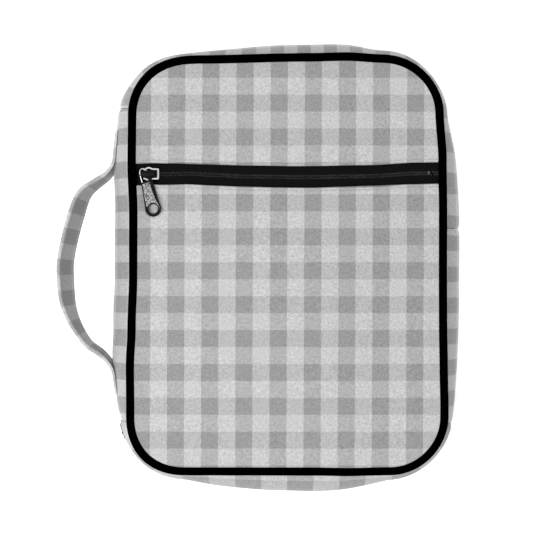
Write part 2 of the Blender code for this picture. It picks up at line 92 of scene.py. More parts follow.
# How far each edge leaves the plain outline, outwards, as a share of the panel's width
SIDE_SHIFTS = (
    # height on the bag from -1 to 1, left edge, right edge
    (-1.00, 0.006, 0.0028),
    (-0.70, 0.0075, 0.008),
    (-0.50, 0.0085, 0.0055),
    (-0.30, 0.003, 0.0035),
    (-0.05, -0.002, 0.003),
    (0.25, -0.0025, 0.0033),
    (0.50, 0.0025, 0.0015),
    (0.75, 0.001, -0.008),
    (1.00, 0.0015, -0.0145),
)
END_SHIFTS = (
    # place across the bag from -1 to 1, bottom edge, top edge
    (-1.00, 0.0045, -0.006),
    (-0.73, 0.0045, -0.0095),
    (-0.55, 0.0050, -0.006),
    (0.15, 0.0055, 0.0005),
    (0.40, 0.0070, 0.003),
    (0.66, 0.0045, -0.0035),
    (1.00, 0.0028, -0.001),
)
# How far the pocket zip hangs off its even bow
ZIP_SHIFTS = (
    # place across the bag from -1 to 1, millimetres up
    (-1.00, -1.2),
    (-0.82, 0.5),
    (-0.66, 1.5),
    (-0.50, 1.1),
    (-0.25, 0.3),
    (0.10, -0.45),
    (0.45, -0.75),
    (0.75, 0.2),
    (0.93, -0.6),
    (1.00, -1.2),
)
HANDLE_LINE = (
    # place along the span, distance from the spine as a share of the reach, share of the lean
    (-0.500, 0.000, 0.0),
    (-0.440, 0.000, 0.0),
    (-0.410, 0.020, 0.0),
    (-0.375, 0.120, 0.0),
    (-0.346, 0.250, 0.1),
    (-0.317, 0.435, 0.2),
    (-0.272, 0.630, 0.3),
    (-0.226, 0.775, 0.5),
    (-0.180, 0.880, 0.7),
    (-0.134, 0.952, 0.9),
    (-0.065, 1.000, 1.0),
    (0.004, 1.000, 1.0),
    (0.096, 0.905, 1.0),
    (0.187, 0.770, 1.0),
    (0.233, 0.680, 0.9),
    (0.264, 0.585, 0.8),
    (0.297, 0.400, 0.5),
    (0.338, 0.145, 0.2),
    (0.375, 0.030, 0.0),
    (0.410, 0.000, 0.0),
    (0.500, 0.000, 0.0),
)

# The cloth of each length of the side wall: where its dark checks start, in mm from the start
# of its run, the height of its rows and where the first row starts, in mm from the piping
WALL_CHECKS = {
    "top": {
        "run": "top", "row": 2.0, "check": 8.6,
        "darks": (
            13.5, 33.9, 51.9, 68.6, 85.2, 101.3, 117.4, 134.3, 151.1, 168.0, 184.9, 209.9, 236.2,
        ),
    },
    "right": {"run": "right", "row": 2.0, "check": 9.6, "darks": (74.05, 93.15)},
    "bottom": {"run": "bottom", "row": 4.4, "check": 15.9, "darks": (14.4, 46.2)},
    "spine": {"run": "left", "row": 2.0, "check": 10.42, "darks": ()},
}
# The strap's checks: where they start along it, their length, and the dark row's foot and height.
# The light rows left along both edges are print placed to paint the light on the strap's rolled
# edges, and the low foot widens the lower one for that painted light.
HANDLE_CHECKS = {"start": 5.0 * MM, "check": 9.75 * MM, "foot": 8.4 * MM, "row": 18.8 * MM}

# One turn of a zip's coil: across from the zip's middle and height, in mm
COIL_TURN = (
    (0.50, -1.00), (0.45, -0.30), (0.60, 0.20), (0.95, 0.25), (1.15, -0.10), (1.20, -0.55),
    (1.90, -0.60), (2.10, -0.85), (1.80, -1.10), (1.10, -1.15),
)

# The slider in its own frame, in mm: half its width along it, its plate, its rails and its bridge
SLIDER_SIDE = (
    (-6.3, 1.6), (-5.9, 2.4), (-4.8, 3.0), (-3.0, 3.4), (-1.6, 3.9), (0.0, 4.6), (1.2, 4.1),
    (2.4, 3.65), (5.9, 3.55), (6.3, 3.3),
)
PLATE_WALL = 1.0
RAIL = 1.15
BRIDGE_LEG = -4.55
BRIDGE_LINE = (
    # place along, height over the plate, share of the bridge's width
    (-4.55, -0.4, 0.72), (-4.55, 1.6, 0.74), (-4.35, 2.3, 0.8), (-3.7, 2.7, 0.9), (-2.0, 2.85, 1.0),
    (0.0, 2.9, 1.0), (3.0, 2.85, 1.0), (3.8, 2.7, 0.97), (4.3, 2.3, 0.93), (4.45, 1.6, 0.9),
    (4.45, -0.4, 0.9),
)
BRIDGE_WIDTH, BRIDGE_WALL = 3.8, 1.1
POST_PLACE, POST_WIDTH, POST_WALL = -4.6, 2.4, 2.8  # between the two plates, at the nose
PLATE_GAP = 0.3  # over the coil
POST_INSET = 0.3  # from a plate's outer face
FLANGE_GAP = 0.6  # between a flange and the tape
PAINTED_DARK_NOSE = -3.0  # the plate is black up to here: painted shade and painted dark reflection on its nose
MAIN_SLIDER_SINK = 0.4 * MM
MAIN_SLIDER_SCALE = (0.85, 0.85, 0.72, 1)

# The pull in its own frame, in mm: the tab's sides, its textured face and its wire ring
PULL_LEFT = (
    (5.0, -1.8), (3.7, -1.5), (3.2, -5.3), (0.0, -5.5), (-1.5, -5.7), (-1.7, -6.4), (-2.6, -13.2),
    (-3.75, -20.1),
)
PULL_RIGHT = ((5.0, -19.0), (5.1, -14.5), (5.25, -9.4))
FACE_RIGHT = ((3.2, -6.4), (3.1, -12.0), (3.5, -17.5), (4.15, -21.0))
FACE_LEFT = ((-2.75, -19.4), (-2.1, -13.0), (-1.0, -6.5))
PULL_RING = (
    (-0.9, -5.9), (-0.9, -3.4), (-0.7, -1.2), (-0.5, 0.6), (0.0, 2.0), (1.1, 2.7), (2.4, 2.3),
    (3.7, 0.6), (4.1, -2.0), (3.5, -5.9),
)
PULL_HOLE = (0.5, -22.6)
TAB_END, FACE_END, HOLE_RADIUS = 4.65, 3.8, 3.15  # radii about the hole
TAB_WALL = 1.3
FACE_LEVELS = (1.0, 1.45)
RING_WIRE, RING_LEVEL = 0.48, 0.65
PULL_NECK = 5.3 * MM  # from the bridge to the tab
PULL_RUN = 22.9 * MM  # from the bridge to where the tab touches the panel
PULL_SIDE = 5.0  # from the ring's line to the tab's far side
PULL_SWING = math.radians(18.0)
PULL_HANG = math.radians(27.0)  # how far the main pull's ring leans out over the cloth's edge
METALS = ("metal", "black", "hammered")


def length(name, description, value):
    return FloatProperty(
        name=name, description=description, default=value, unit="LENGTH", precision=4
    )


def color(name, description, value):
    return FloatVectorProperty(
        name=name, description=description, default=value, subtype="COLOR", min=0.0, max=1.0
    )


class BagShape(PropertyGroup):
    """Sizes of the bag."""

    panel_width: length("Panel Width", "Across the front piping, outside", 194.0 * MM)
    panel_height: length("Panel Height", "Along the front piping, outside", 256.7 * MM)
    depth: length("Depth", "From the surface to the top of the front piping", 60.0 * MM)
    corner_top: length("Top Corners", "Radius of the piping's outer edge", 36.5 * MM)
    corner_low: length("Bottom Corners", "Radius of the piping's outer edge", 34.5 * MM)
    piping: length("Piping", "Diameter of the piping", 4.9 * MM)
    panel_wall: length("Panel Cloth", "Thickness of the panels", 2.0 * MM)
    wall: length("Side Cloth", "Thickness of the side walls", 1.8 * MM)
    crown: length("Crown", "How far the front panel rises in its middle", 3.0 * MM)
    stand: length("Piping Stand", "How far the piping stands above the panel", 1.5 * MM)
    seam_right: length("Right Seam", "Height of the side wall's seam above the middle", 22.0 * MM)
    seam_bottom: length("Bottom Seam", "How far the right length goes round its corner", 4.0 * MM)
    spine_top: length("Spine Past Top", "How far the spine reaches into the top corner", 4.4 * MM)
    spine_low: length("Spine Past Bottom", "How far it reaches into the bottom corner", 2.2 * MM)


class HandleShape(PropertyGroup):
    """Sizes of the strap handle."""

    span: length("Span", "From one sewn end to the other", 164.0 * MM)
    rise: length("Rise", "Of the span's middle above the middle of the bag", 1.8 * MM)
    reach: length("Reach", "From the spine to the middle of the strap", 29.4 * MM)
    width: length("Width", "Of the strap", 26.0 * MM)
    wall: length("Thickness", "Of the strap", 2.8 * MM)
    lean: FloatProperty(
        name="Lean", description="Turns the strap's inner face to the front",
        default=math.radians(13.0), subtype="ANGLE",
    )


class ZipShape(PropertyGroup):
    """Sizes of the two zips."""

    shown: length("Shown Width", "Between the two cloth edges", 12.2 * MM)
    pocket_shown: length("Pocket Shown Width", "Between the pocket zip's cloth edges", 13.1 * MM)
    height: length("Pocket Zip Height", "Of its ends above the middle of the bag", 56.8 * MM)
    bow: length("Pocket Zip Bow", "How far it hangs in its middle", 3.3 * MM)
    tape: length("Tape", "Thickness of the tape", 0.8 * MM)
    tuck: length("Tape Tuck", "Its hidden width behind each cloth edge", 4.0 * MM)
    tape_gap: length("Tape Gap", "From the zip's middle to each tape", 1.3 * MM)
    coil_width: length("Coil Width", "Across both rows of turns", 4.4 * MM)
    coil_height: length("Coil Height", "Of the turns", 2.4 * MM)
    coil_pitch: length("Coil Pitch", "From one turn to the next in a row", 1.64 * MM)
    slider: length("Slider Length", "Of each slider", 12.6 * MM)
    slider_end: length("Pocket Slider End", "From the pocket's slider to the piping", 1.3 * MM)
    main_end: length("Main Slider End", "From the main slider to the spine", 0.8 * MM)


class ClothLook(PropertyGroup):
    """Colours and sizes of the gingham and its thread."""

    light: color("Light Check", "Where two light stripes cross", (0.523, 0.523, 0.523))
    medium: color("Medium Check", "Where a dark and a light stripe cross", (0.408, 0.408, 0.408))
    dark: color("Dark Check", "Where two dark stripes cross", (0.280, 0.280, 0.280))
    black: color("Black Cloth", "Of the piping and the zip tapes", (0.0002, 0.0002, 0.0002))
    check_x: length("Check Width", "Of the front panel's checks", 10.41 * MM)
    check_y: length("Check Height", "Of the front panel's checks", 10.33 * MM)
    start_x: length("Checks Start Across", "Left edge of a dark stripe", -73.0 * MM)
    start_y: length("Checks Start Up", "Lower edge of a dark stripe", 11.3 * MM)
    start_top: length("Upper Checks Start", "The same on the strip over the zip", 10.1 * MM)
    slant: FloatProperty(name="Slant", description="How far the dark stripes lean", default=0.0039)
    stitch: length("Stitch", "From one stitch to the next", 2.3 * MM)


class StageLook(PropertyGroup):
    """Where the photograph was taken from, and its light."""

    camera_height: length("Camera Height", "Above the surface", 1.010)
    camera_x: length("Camera Across", "From the middle of the bag", -12.67 * MM)
    camera_y: length("Camera Up", "From the middle of the bag", -1.67 * MM)
    focal: FloatProperty(name="Focal Length", description="In millimetres", default=105.37)
    sky: FloatProperty(name="Sky", description="Strength of the even light overhead", default=0.90)
    horizon: FloatProperty(
        name="Horizon", description="Strength of the even light low down", default=0.40
    )


class Plan:
    """The bag's outline and its surfaces, from the sizes in the panel."""

    def __init__(self, scene):
        self.bag, self.strap, self.zip, self.look = (
            scene.bag_shape, scene.bag_handle, scene.bag_zips, scene.bag_cloth
        )
        bag = self.bag
        self.width, self.depth, self.piping = bag.panel_width, bag.depth, bag.piping
        self.half_x = (bag.panel_width - bag.piping) / 2
        self.half_y = (bag.panel_height - bag.piping) / 2
        self.turn_top = bag.corner_top - bag.piping / 2
        self.turn_low = bag.corner_low - bag.piping / 2
        self.low = bag.piping + GAP
        self.high = bag.depth - bag.piping - GAP
        self.middle = bag.depth / 2
        self.inset = bag.piping / 2 + GAP
        self.zip_low = self.middle - self.zip.shown / 2
        self.zip_high = self.middle + self.zip.shown / 2
        self.tape_inset = bag.wall + GAP * 2
        self.runs = self.make_runs()
        self.starts, self.round = {}, 0.0
        for name, run_length, _ in self.runs:
            self.starts[name] = self.round
            self.round += run_length
        self.spine_low = -bag.spine_low
        self.spine_high = self.starts["top_left"] + bag.spine_top
        self.right_seam = self.starts["right"] + self.half_y - self.turn_top - bag.seam_right
        self.bottom_seam = self.starts["bottom_right"] + bag.seam_bottom

    def make_runs(self):
        """The piping's middle line, clockwise from the foot of the spine."""
        x, y, top, low = self.half_x, self.half_y, self.turn_top, self.turn_low

        def straight(start, end):
            line = Vector(end) - Vector(start)
            normal = Vector((-line.y, line.x)).normalized()
            return line.length, lambda share: (Vector(start) + line * share, normal)

        def corner(middle, radius, first):
            def at(share):
                angle = math.radians(first - 90 * share)
                normal = Vector((math.cos(angle), math.sin(angle)))
                return Vector(middle) + normal * radius, normal

            return radius * math.pi / 2, at

        return (
            ("left", *straight((-x, low - y), (-x, y - top))),
            ("top_left", *corner((top - x, y - top), top, 180)),
            ("top", *straight((top - x, y), (x - top, y))),
            ("top_right", *corner((x - top, y - top), top, 90)),
            ("right", *straight((x, y - top), (x, low - y))),
            ("bottom_right", *corner((x - low, low - y), low, 0)),
            ("bottom", *straight((x - low, -y), (low - x, -y))),
            ("bottom_left", *corner((low - x, low - y), low, -90)),
        )

    def place(self, distance):
        """The run's name, the share along it, the point and the normal at this distance round."""
        distance %= self.round
        for name, run_length, at in reversed(self.runs):
            if distance >= self.starts[name]:
                share = (distance - self.starts[name]) / run_length
                return name, share, *at(share)
        raise ValueError("the outline has no such place")

    def settle(self, x, y):
        """A point of the plain outline, moved to where the leaning edges put it."""
        across, up = x / self.half_x, y / self.half_y
        left = -table_value(SIDE_SHIFTS, up, 1) * self.width
        right = table_value(SIDE_SHIFTS, up, 2) * self.width
        bottom = -table_value(END_SHIFTS, across, 1) * self.width
        top = table_value(END_SHIFTS, across, 2) * self.width
        shift_x = (left * (1 - across) + right * (1 + across)) / 2
        shift_y = (bottom * (1 - up) + top * (1 + up)) / 2
        foot = eased((-across - FOOT_START_X) / (1 - FOOT_START_X))
        foot *= eased((-up - FOOT_START_Y) / (1 - FOOT_START_Y)) * FOOT_PUSH * self.width
        return x + shift_x - foot, y + shift_y - foot

    def seat(self, height):
        """From 0 to 1, how firmly the strap is sewn to the spine at this height."""
        along = (height - self.strap.rise) / self.strap.span
        away = abs(abs(along) - SEWN_PLACE) / SEWN_REACH
        return max(0.0, 1 - away * away)

    def bulge(self, name, share, height):
        if name in CORNER_BULGES:
            first, middle, last = CORNER_BULGES[name]
            near, far = (first, middle) if share < 0.5 else (middle, last)
            return (near + (far - near) * eased(share * 2 % 1)) * self.depth
        side = BULGES[name]
        peak = side["peak"]
        end = side["first"] if share < peak else side["last"]
        from_peak = 1 - share / peak if share < peak else (share - peak) / (1 - peak)
        reach = end + (side["most"] - end) * (1 - from_peak ** side["fullness"])
        if name == "left" and height < 0:
            reach -= HANDLE_DENT / 2 * self.seat(height)
        return reach * self.depth

    def wall_reach(self, distance, z):
        """The outer wall's distance from the piping's middle line at a height above the surface."""
        name, share, point, _ = self.place(distance)
        level = 2 * (z - self.low) / (self.high - self.low) - 1
        swell = 1 - min(1.0, abs(level)) ** WALL_FULLNESS
        seam = SEAM_BULGE * self.depth
        return seam + (self.bulge(name, share, point.y) - seam) * swell

    def at(self, distance, reach, z):
        _, _, point, normal = self.place(distance)
        x, y = self.settle(*(point + normal * reach))
        return Vector((x, y, z))

    def zip_line(self, x):
        across = x / self.half_x
        return (
            self.zip.height - self.zip.bow * (1 - across ** 2)
            + table_value(ZIP_SHIFTS, across, 1) * MM
        )

    def panel_top(self, x, y):
        crown = self.bag.crown * (1 - (x / self.half_x) ** 2) * (1 - (y / self.half_y) ** 2)
        return self.depth - self.bag.stand + crown

    def half_width(self, y):
        """Half the panel's width at this height."""
        for turn, sign in ((self.turn_top, 1), (self.turn_low, -1)):
            into = sign * y - (self.half_y - turn)
            if into > 0:
                radius = turn - self.inset
                return self.half_x - turn + math.sqrt(max(0.0, radius ** 2 - into ** 2))
        return self.half_x - self.inset

    def coil_point(self, distance):
        """The main coil's middle line."""
        reach = self.wall_reach(distance, self.middle) - self.tape_inset - self.zip.tape / 2
        return self.at(distance, reach, self.middle)

    def pocket_coil_point(self, x):
        y = self.zip_line(x)
        z = self.panel_top(x, y) - self.bag.panel_wall - GAP - self.zip.tape / 2
        return Vector((*self.settle(x, y), z))

    def slider_frame(self):
        """The main slider's middle, the way to its closed end and the way out of the wall."""
        middle_at = self.round + self.spine_low - self.zip.main_end - self.zip.slider / 2
        tail = self.coil_point(middle_at - self.zip.slider / 2)
        nose = self.coil_point(middle_at + self.zip.slider / 2)
        middle = (self.coil_point(middle_at) + (tail + nose) / 2) / 2
        along = (tail - nose).normalized()
        return middle, along, along.cross(Vector((0, 0, 1))).normalized()


def eased(share):
    """From 0 to 1 with a soft start and end."""
    share = max(0.0, min(1.0, share))
    return share * share * (3 - 2 * share)


def table_value(table, place, column):
    """The table's column at this place, eased from one row to the next."""
    if place <= table[0][0]:
        return table[0][column]
    for low, high in zip(table, table[1:]):
        if place <= high[0]:
            ease = eased((place - low[0]) / (high[0] - low[0]))
            return low[column] + (high[column] - low[column]) * ease
    return table[-1][column]


def spread(low, high, count):
    return [low + (high - low) * step / count for step in range(count + 1)]


def steps(low, high, size):
    return spread(low, high, max(1, round((high - low) / size)))


def ripple(place, size, seed=0.0):
    """Smooth noise from -1 to 1 over bumps of about this size."""
    return noise.noise(Vector(place) / size + Vector((seed, seed * 1.7, -seed)))


# Meshes


def make_object(name, vertices, faces, finish, layers=None):
    """A smooth-shaded object with its faces turned out. layers holds a UV pair for every corner."""
    mesh = bpy.data.meshes.new(name)
    mesh.from_pydata([tuple(v) for v in vertices], [], faces)
    for layer, pairs in (layers or {}).items():
        uv = mesh.uv_layers.new(name=layer)
        uv.data.foreach_set("uv", [value for pair in pairs for value in pair])
    made = bmesh.new()
    made.from_mesh(mesh)
    bmesh.ops.recalc_face_normals(made, faces=made.faces)
    made.to_mesh(mesh)
    made.free()
    mesh.polygons.foreach_set("use_smooth", [True] * len(mesh.polygons))
    mesh.set_sharp_from_angle(angle=CREASE)
    obj = bpy.data.objects.new(name, mesh)
    bpy.context.scene.collection.objects.link(obj)
    for item in finish if isinstance(finish, (list, tuple)) else [finish]:
        mesh.materials.append(item)
    return obj


def loft(name, sections, finish, ring=False, uv=None):
    """A closed body through equal sections. uv gives each layer's pair by row and column."""
    rows, count = len(sections), len(sections[0])
    vertices = [point for section in sections for point in section]
    faces, corners = [], []
    for row in range(rows if ring else rows - 1):
        after = (row + 1) % rows
        for column in range(count):
            beside = (column + 1) % count
            faces.append((
                row * count + column, row * count + beside,
                after * count + beside, after * count + column,
            ))
            corners += [(row, column), (row, column + 1), (row + 1, column + 1), (row + 1, column)]
    if not ring:
        for row in (0, rows - 1):
            faces.append(tuple(row * count + column for column in range(count)))
            corners += [(row, column) for column in range(count)]
    layers = {layer: [pair(*corner) for corner in corners] for layer, pair in (uv or {}).items()}
    return make_object(name, vertices, faces, finish, layers)


def wear(piece, slot, *nodes, fill=None):
    """The piece rides on the bag and stands for its nodes. The slot is not used."""
    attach(piece, "root")
    if nodes:
        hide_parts(*nodes)
    return piece


def rounded_section(low, high, wall, step):
    """A wall's section as (height, share of the wall's thickness inwards), with folded edges."""
    radius = wall / 2
    outer = [(z, 0.0) for z in steps(low + radius, high - radius, step)]
    turn = [math.radians(a) for a in spread(-90, 90, 6)[1:-1]]
    top = [(high - radius + radius * math.cos(a), 0.5 + 0.5 * math.sin(a)) for a in turn]
    inner = [(z, 1.0) for z, _ in reversed(outer)]
    foot = [(low + radius - radius * math.cos(a), 0.5 - 0.5 * math.sin(a)) for a in turn]
    return outer + top + inner + foot


# Materials


class Wire:
    """A socket of a material. Sums on it are written as Python expressions."""

    def __init__(self, shader, socket):
        self.shader, self.socket = shader, socket

    def math(self, operation, *values):
        node = self.shader.add("ShaderNodeMath", {"operation": operation}, dict(enumerate(values)))
        return Wire(self.shader, node.outputs[0])

    def __add__(self, other):
        return self.math("ADD", self, other)

    def __radd__(self, other):
        return self.math("ADD", other, self)

    def __sub__(self, other):
        return self.math("SUBTRACT", self, other)

    def __rsub__(self, other):
        return self.math("SUBTRACT", other, self)

    def __mul__(self, other):
        return self.math("MULTIPLY", self, other)

    def sine(self):
        return self.math("SINE", self)

    def held(self, low=0.0, high=1.0):
        """Kept between two limits."""
        return self.math("MINIMUM", self.math("MAXIMUM", self, low), high)


class Finish:
    """A material under construction."""

    def __init__(self, name, roughness, metallic=0.0):
        self.material = bpy.data.materials.new(name)
        self.material.use_nodes = True
        self.tree = self.material.node_tree
        self.surface = self.tree.nodes["Principled BSDF"]
        self.surface.inputs["Roughness"].default_value = roughness
        self.surface.inputs["Metallic"].default_value = metallic

    def add(self, kind, settings=None, values=None):
        """A node of this kind, its settings first and then its sockets' values or links."""
        node = self.tree.nodes.new(kind)
        for name, value in (settings or {}).items():
            setattr(node, name, value)
        for socket, value in (values or {}).items():
            self.join(node.inputs[socket], value)
        return node

    def join(self, socket, value):
        if isinstance(value, Wire):
            self.tree.links.new(value.socket, socket)
        else:
            socket.default_value = value

    def out(self, node, socket=0):
        return Wire(self, node.outputs[socket])

    def uv(self, layer):
        """The two numbers of a UV layer."""
        place = self.add("ShaderNodeUVMap", {"uv_map": layer})
        parts = self.add("ShaderNodeSeparateXYZ", None, {0: self.out(place)})
        return self.out(parts, 0), self.out(parts, 1)

    def object_place(self):
        return self.out(self.add("ShaderNodeTexCoord"), "Object")

    def mottle(self, scale, detail=2.0):
        """Noise from 0 to 1."""
        node = self.add(
            "ShaderNodeTexNoise", None,
            {"Vector": self.object_place(), "Scale": scale, "Detail": detail},
        )
        return self.out(node, "Fac")

    def blend(self, share, first, second):
        """A colour between two others."""
        node = self.add("ShaderNodeMix", {"data_type": "RGBA"}, {0: share, 6: first, 7: second})
        return self.out(node, 2)

    def tint(self, paint, strength):
        """The colour made lighter or darker by a number."""
        flat = paint if isinstance(paint, Wire) else paint[:3]
        values = {0: flat, "Scale": strength}
        return self.out(self.add("ShaderNodeVectorMath", {"operation": "SCALE"}, values))

    def bump(self, height, distance, strength=1.0):
        node = self.add(
            "ShaderNodeBump", None, {"Height": height, "Distance": distance, "Strength": strength}
        )
        self.join(self.surface.inputs["Normal"], self.out(node))

    def paint(self, value):
        self.join(self.surface.inputs["Base Color"], value)

    def rough(self, value):
        self.join(self.surface.inputs["Roughness"], value)


def rgba(value):
    return (*value[:3], 1.0)


def weave(finish, thread):
    """Height of a plain weave with threads of this pitch, from 0 to 1, over the cloth's own UV."""
    u, v = finish.uv("cloth")
    turn = math.pi / thread
    return (u * turn).sine() * (v * turn).sine() * 0.5 + 0.5


def gingham(name, look):
    """Printed gingham: dark and light stripes cross, on a fine grey weave."""
    finish = Finish(name, 0.86)
    u, v = finish.uv("checks")
    across = ((u * math.pi).sine() * 11.0 + 0.5).held()
    up = ((v * math.pi).sine() * 11.0 + 0.5).held()
    light, medium, dark = rgba(look.light), rgba(look.medium), rgba(look.dark)
    print_row = finish.blend(across, light, rgba([c * 0.946 for c in medium]))
    dark_row = finish.blend(across, rgba([c * 1.054 for c in medium]), dark)
    checks = finish.blend(up, print_row, dark_row)
    threads = weave(finish, 0.61 * MM)
    grain = finish.mottle(820.0, 2.0)
    patch = ((finish.mottle(130.0, 1.0) - 0.5) * 6.0).held()
    cloud = finish.mottle(26.0, 3.0)
    shade = 0.50 + grain * 0.84 + (threads - 0.5) * patch * 0.42 + cloud * 0.08
    finish.paint(finish.tint(checks, shade))
    finish.rough(0.78 + grain * 0.14)
    finish.bump(threads * 0.5 + grain * 0.8, 0.16 * MM, 0.8)
    finish.surface.inputs["Sheen Weight"].default_value = 0.12
    finish.surface.inputs["Sheen Roughness"].default_value = 0.6
    finish.surface.inputs["Specular IOR Level"].default_value = 0.25
    return finish.material


def black_cloth(name, look, thread, level, shine):
    """Black tape or piping cloth with its threads."""
    finish = Finish(name, 0.8)
    threads = weave(finish, thread)
    grain = finish.mottle(1500.0, 1.0)
    base = [c * level for c in rgba(look.black)[:3]] + [1.0]
    finish.paint(finish.tint(base, 0.6 + threads * 0.5 + grain * 0.4))
    finish.rough(0.7 + grain * 0.2)
    finish.bump(threads * 0.7 + grain * 0.3, 0.10 * MM, 0.6)
    finish.surface.inputs["Specular IOR Level"].default_value = shine
    return finish.material


def coil_plastic():
    finish = Finish("black_nylon_coil", 0.4)
    streak = finish.mottle(1200.0, 2.0)
    finish.paint(finish.tint((0.05, 0.05, 0.05, 1.0), 0.6 + streak * 0.8))
    finish.rough(0.3 + streak * 0.25)
    return finish.material


def plated():
    """Plated die-cast metal with fine scratches."""
    finish = Finish("silver_plating", 0.2, 1.0)
    scuff = finish.mottle(700.0, 4.0)
    pits = finish.mottle(2600.0, 2.0)
    finish.paint(finish.tint((0.72, 0.72, 0.7272, 1.0), 0.72 + scuff * 0.45))
    finish.rough(0.14 + scuff * 0.28)
    finish.bump(pits, 0.05 * MM, 0.35)
    return finish.material


# Black put on plated metal for painted shade and painted dark reflection: the sliders' bridges,
# posts, noses and sunk middles, and the pulls' tabs round their bright faces.
def painted_shade_black_metal():
    finish = Finish("painted_shade_black_metal", 0.25, 0.0)
    scuff = finish.mottle(900.0, 3.0)
    finish.paint(finish.tint((0.003, 0.003, 0.003, 1.0), 0.5 + scuff * 1.1))
    finish.rough(0.4 + scuff * 0.2)
    finish.surface.inputs["Specular IOR Level"].default_value = 0.12
    return finish.material


def hammered():
    """The pull's face: bright metal with a fine hammered texture, dark in its hollows."""
    finish = Finish("hammered_metal", 0.28, 1.0)
    dents = finish.mottle(1500.0, 3.0)
    hollow = ((dents - 0.40) * 6.0).held()
    finish.paint(finish.blend(hollow, (0.03, 0.03, 0.03, 1.0), (0.46, 0.46, 0.46, 1.0)))
    finish.rough(0.5 - hollow * 0.15)
    finish.bump(dents, 0.08 * MM, 0.6)
    return finish.material


def thread_finish(look):
    finish = Finish("sewing_thread", 0.7)
    twist = finish.mottle(2600.0, 1.0)
    finish.paint(finish.tint(rgba([c * 0.93 for c in look.light]), 0.75 + twist * 0.35))
    finish.bump(twist, 0.08 * MM, 0.5)
    return finish.material


FINISHES = {}


def finish_for(key):
    """Each finish is made once."""
    look = bpy.context.scene.bag_cloth
    makers = {
        "front": lambda: gingham("gingham_front_cloth", look),
        "back": lambda: gingham("gingham_back_cloth", look),
        "gusset": lambda: gingham("gingham_gusset_cloth", look),
        "spine": lambda: gingham("gingham_spine_cloth", look),
        "handle": lambda: gingham("gingham_handle_cloth", look),
        "piping": lambda: black_cloth("black_piping_cloth", look, 0.35 * MM, 1.0, 0.0),
        "tape": lambda: black_cloth("black_zip_tape", look, 0.5 * MM, 22.0, 0.04),
        "coil": coil_plastic,
        "metal": plated,
        "black": painted_shade_black_metal,
        "hammered": hammered,
        "thread": lambda: thread_finish(look),
    }
    if key not in FINISHES:
        FINISHES[key] = makers[key]()
    return FINISHES[key]


# Rows of repeats


def repeat_tree():
    """A node tree that sets a small piece at even steps along a line whose points know their up."""
    tree = bpy.data.node_groups.get("evenly_spaced")
    if tree:
        return tree
    tree = bpy.data.node_groups.new("evenly_spaced", "GeometryNodeTree")
    face = tree.interface
    face.new_socket(name="Line", in_out="INPUT", socket_type="NodeSocketGeometry")
    face.new_socket(name="Piece", in_out="INPUT", socket_type="NodeSocketObject")
    face.new_socket(name="Pitch", in_out="INPUT", socket_type="NodeSocketFloat")
    face.new_socket(name="Finish", in_out="INPUT", socket_type="NodeSocketMaterial")
    face.new_socket(name="Row", in_out="OUTPUT", socket_type="NodeSocketGeometry")

    def add(kind, settings=None, links=None):
        node = tree.nodes.new(kind)
        for name, value in (settings or {}).items():
            setattr(node, name, value)
        for socket, source in (links or {}).items():
            tree.links.new(source, node.inputs[socket])
        return node

    given = add("NodeGroupInput")
    line = add("GeometryNodeMeshToCurve", None, {"Mesh": given.outputs["Line"]})
    even = add("GeometryNodeResampleCurve", {"mode": "LENGTH"}, {
        "Curve": line.outputs[0], "Length": given.outputs["Pitch"],
    })
    up = add("GeometryNodeInputNamedAttribute", {"data_type": "FLOAT_VECTOR"})
    up.inputs["Name"].default_value = "up"
    along = add("GeometryNodeInputTangent")
    turn = add("FunctionNodeAxesToRotation", {"primary_axis": "Z", "secondary_axis": "X"}, {
        0: up.outputs["Attribute"], 1: along.outputs[0],
    })
    piece = add("GeometryNodeObjectInfo", None, {"Object": given.outputs["Piece"]})
    put = add("GeometryNodeInstanceOnPoints", None, {
        "Points": even.outputs[0],
        "Instance": piece.outputs["Geometry"],
        "Rotation": turn.outputs[0],
    })
    real = add("GeometryNodeRealizeInstances", None, {"Geometry": put.outputs[0]})
    dressed = add("GeometryNodeSetMaterial", None, {
        "Geometry": real.outputs[0], "Material": given.outputs["Finish"],
    })
    add("NodeGroupOutput", None, {0: dressed.outputs[0]})
    return tree


def repeat_rows(name, lines, piece, pitch, finish):
    """One mesh with a copy of the piece at every pitch along each line of (point, up)."""
    vertices, edges, ups = [], [], []
    for line in lines:
        first = len(vertices)
        vertices += [tuple(point) for point, _ in line]
        ups += [value for _, up in line for value in up]
        edges += [(first + step, first + step + 1) for step in range(len(line) - 1)]
    mesh = bpy.data.meshes.new(name + "_line")
    mesh.from_pydata(vertices, edges, [])
    mesh.attributes.new("up", "FLOAT_VECTOR", "POINT").data.foreach_set("vector", ups)
    row = bpy.data.objects.new(name, mesh)
    bpy.context.scene.collection.objects.link(row)
    tree = repeat_tree()
    step = row.modifiers.new("evenly_spaced", "NODES")
    step.node_group = tree
    sockets = {item.name: item.identifier for item in tree.interface.items_tree}
    step[sockets["Piece"]] = piece
    step[sockets["Pitch"]] = pitch
    step[sockets["Finish"]] = finish
    row.update_tag()
    bpy.context.view_layer.update()
    made = bpy.data.meshes.new_from_object(row.evaluated_get(bpy.context.evaluated_depsgraph_get()))
    row.modifiers.remove(step)
    row.data = made
    made.polygons.foreach_set("use_smooth", [True] * len(made.polygons))
    bpy.data.objects.remove(piece)
    return row


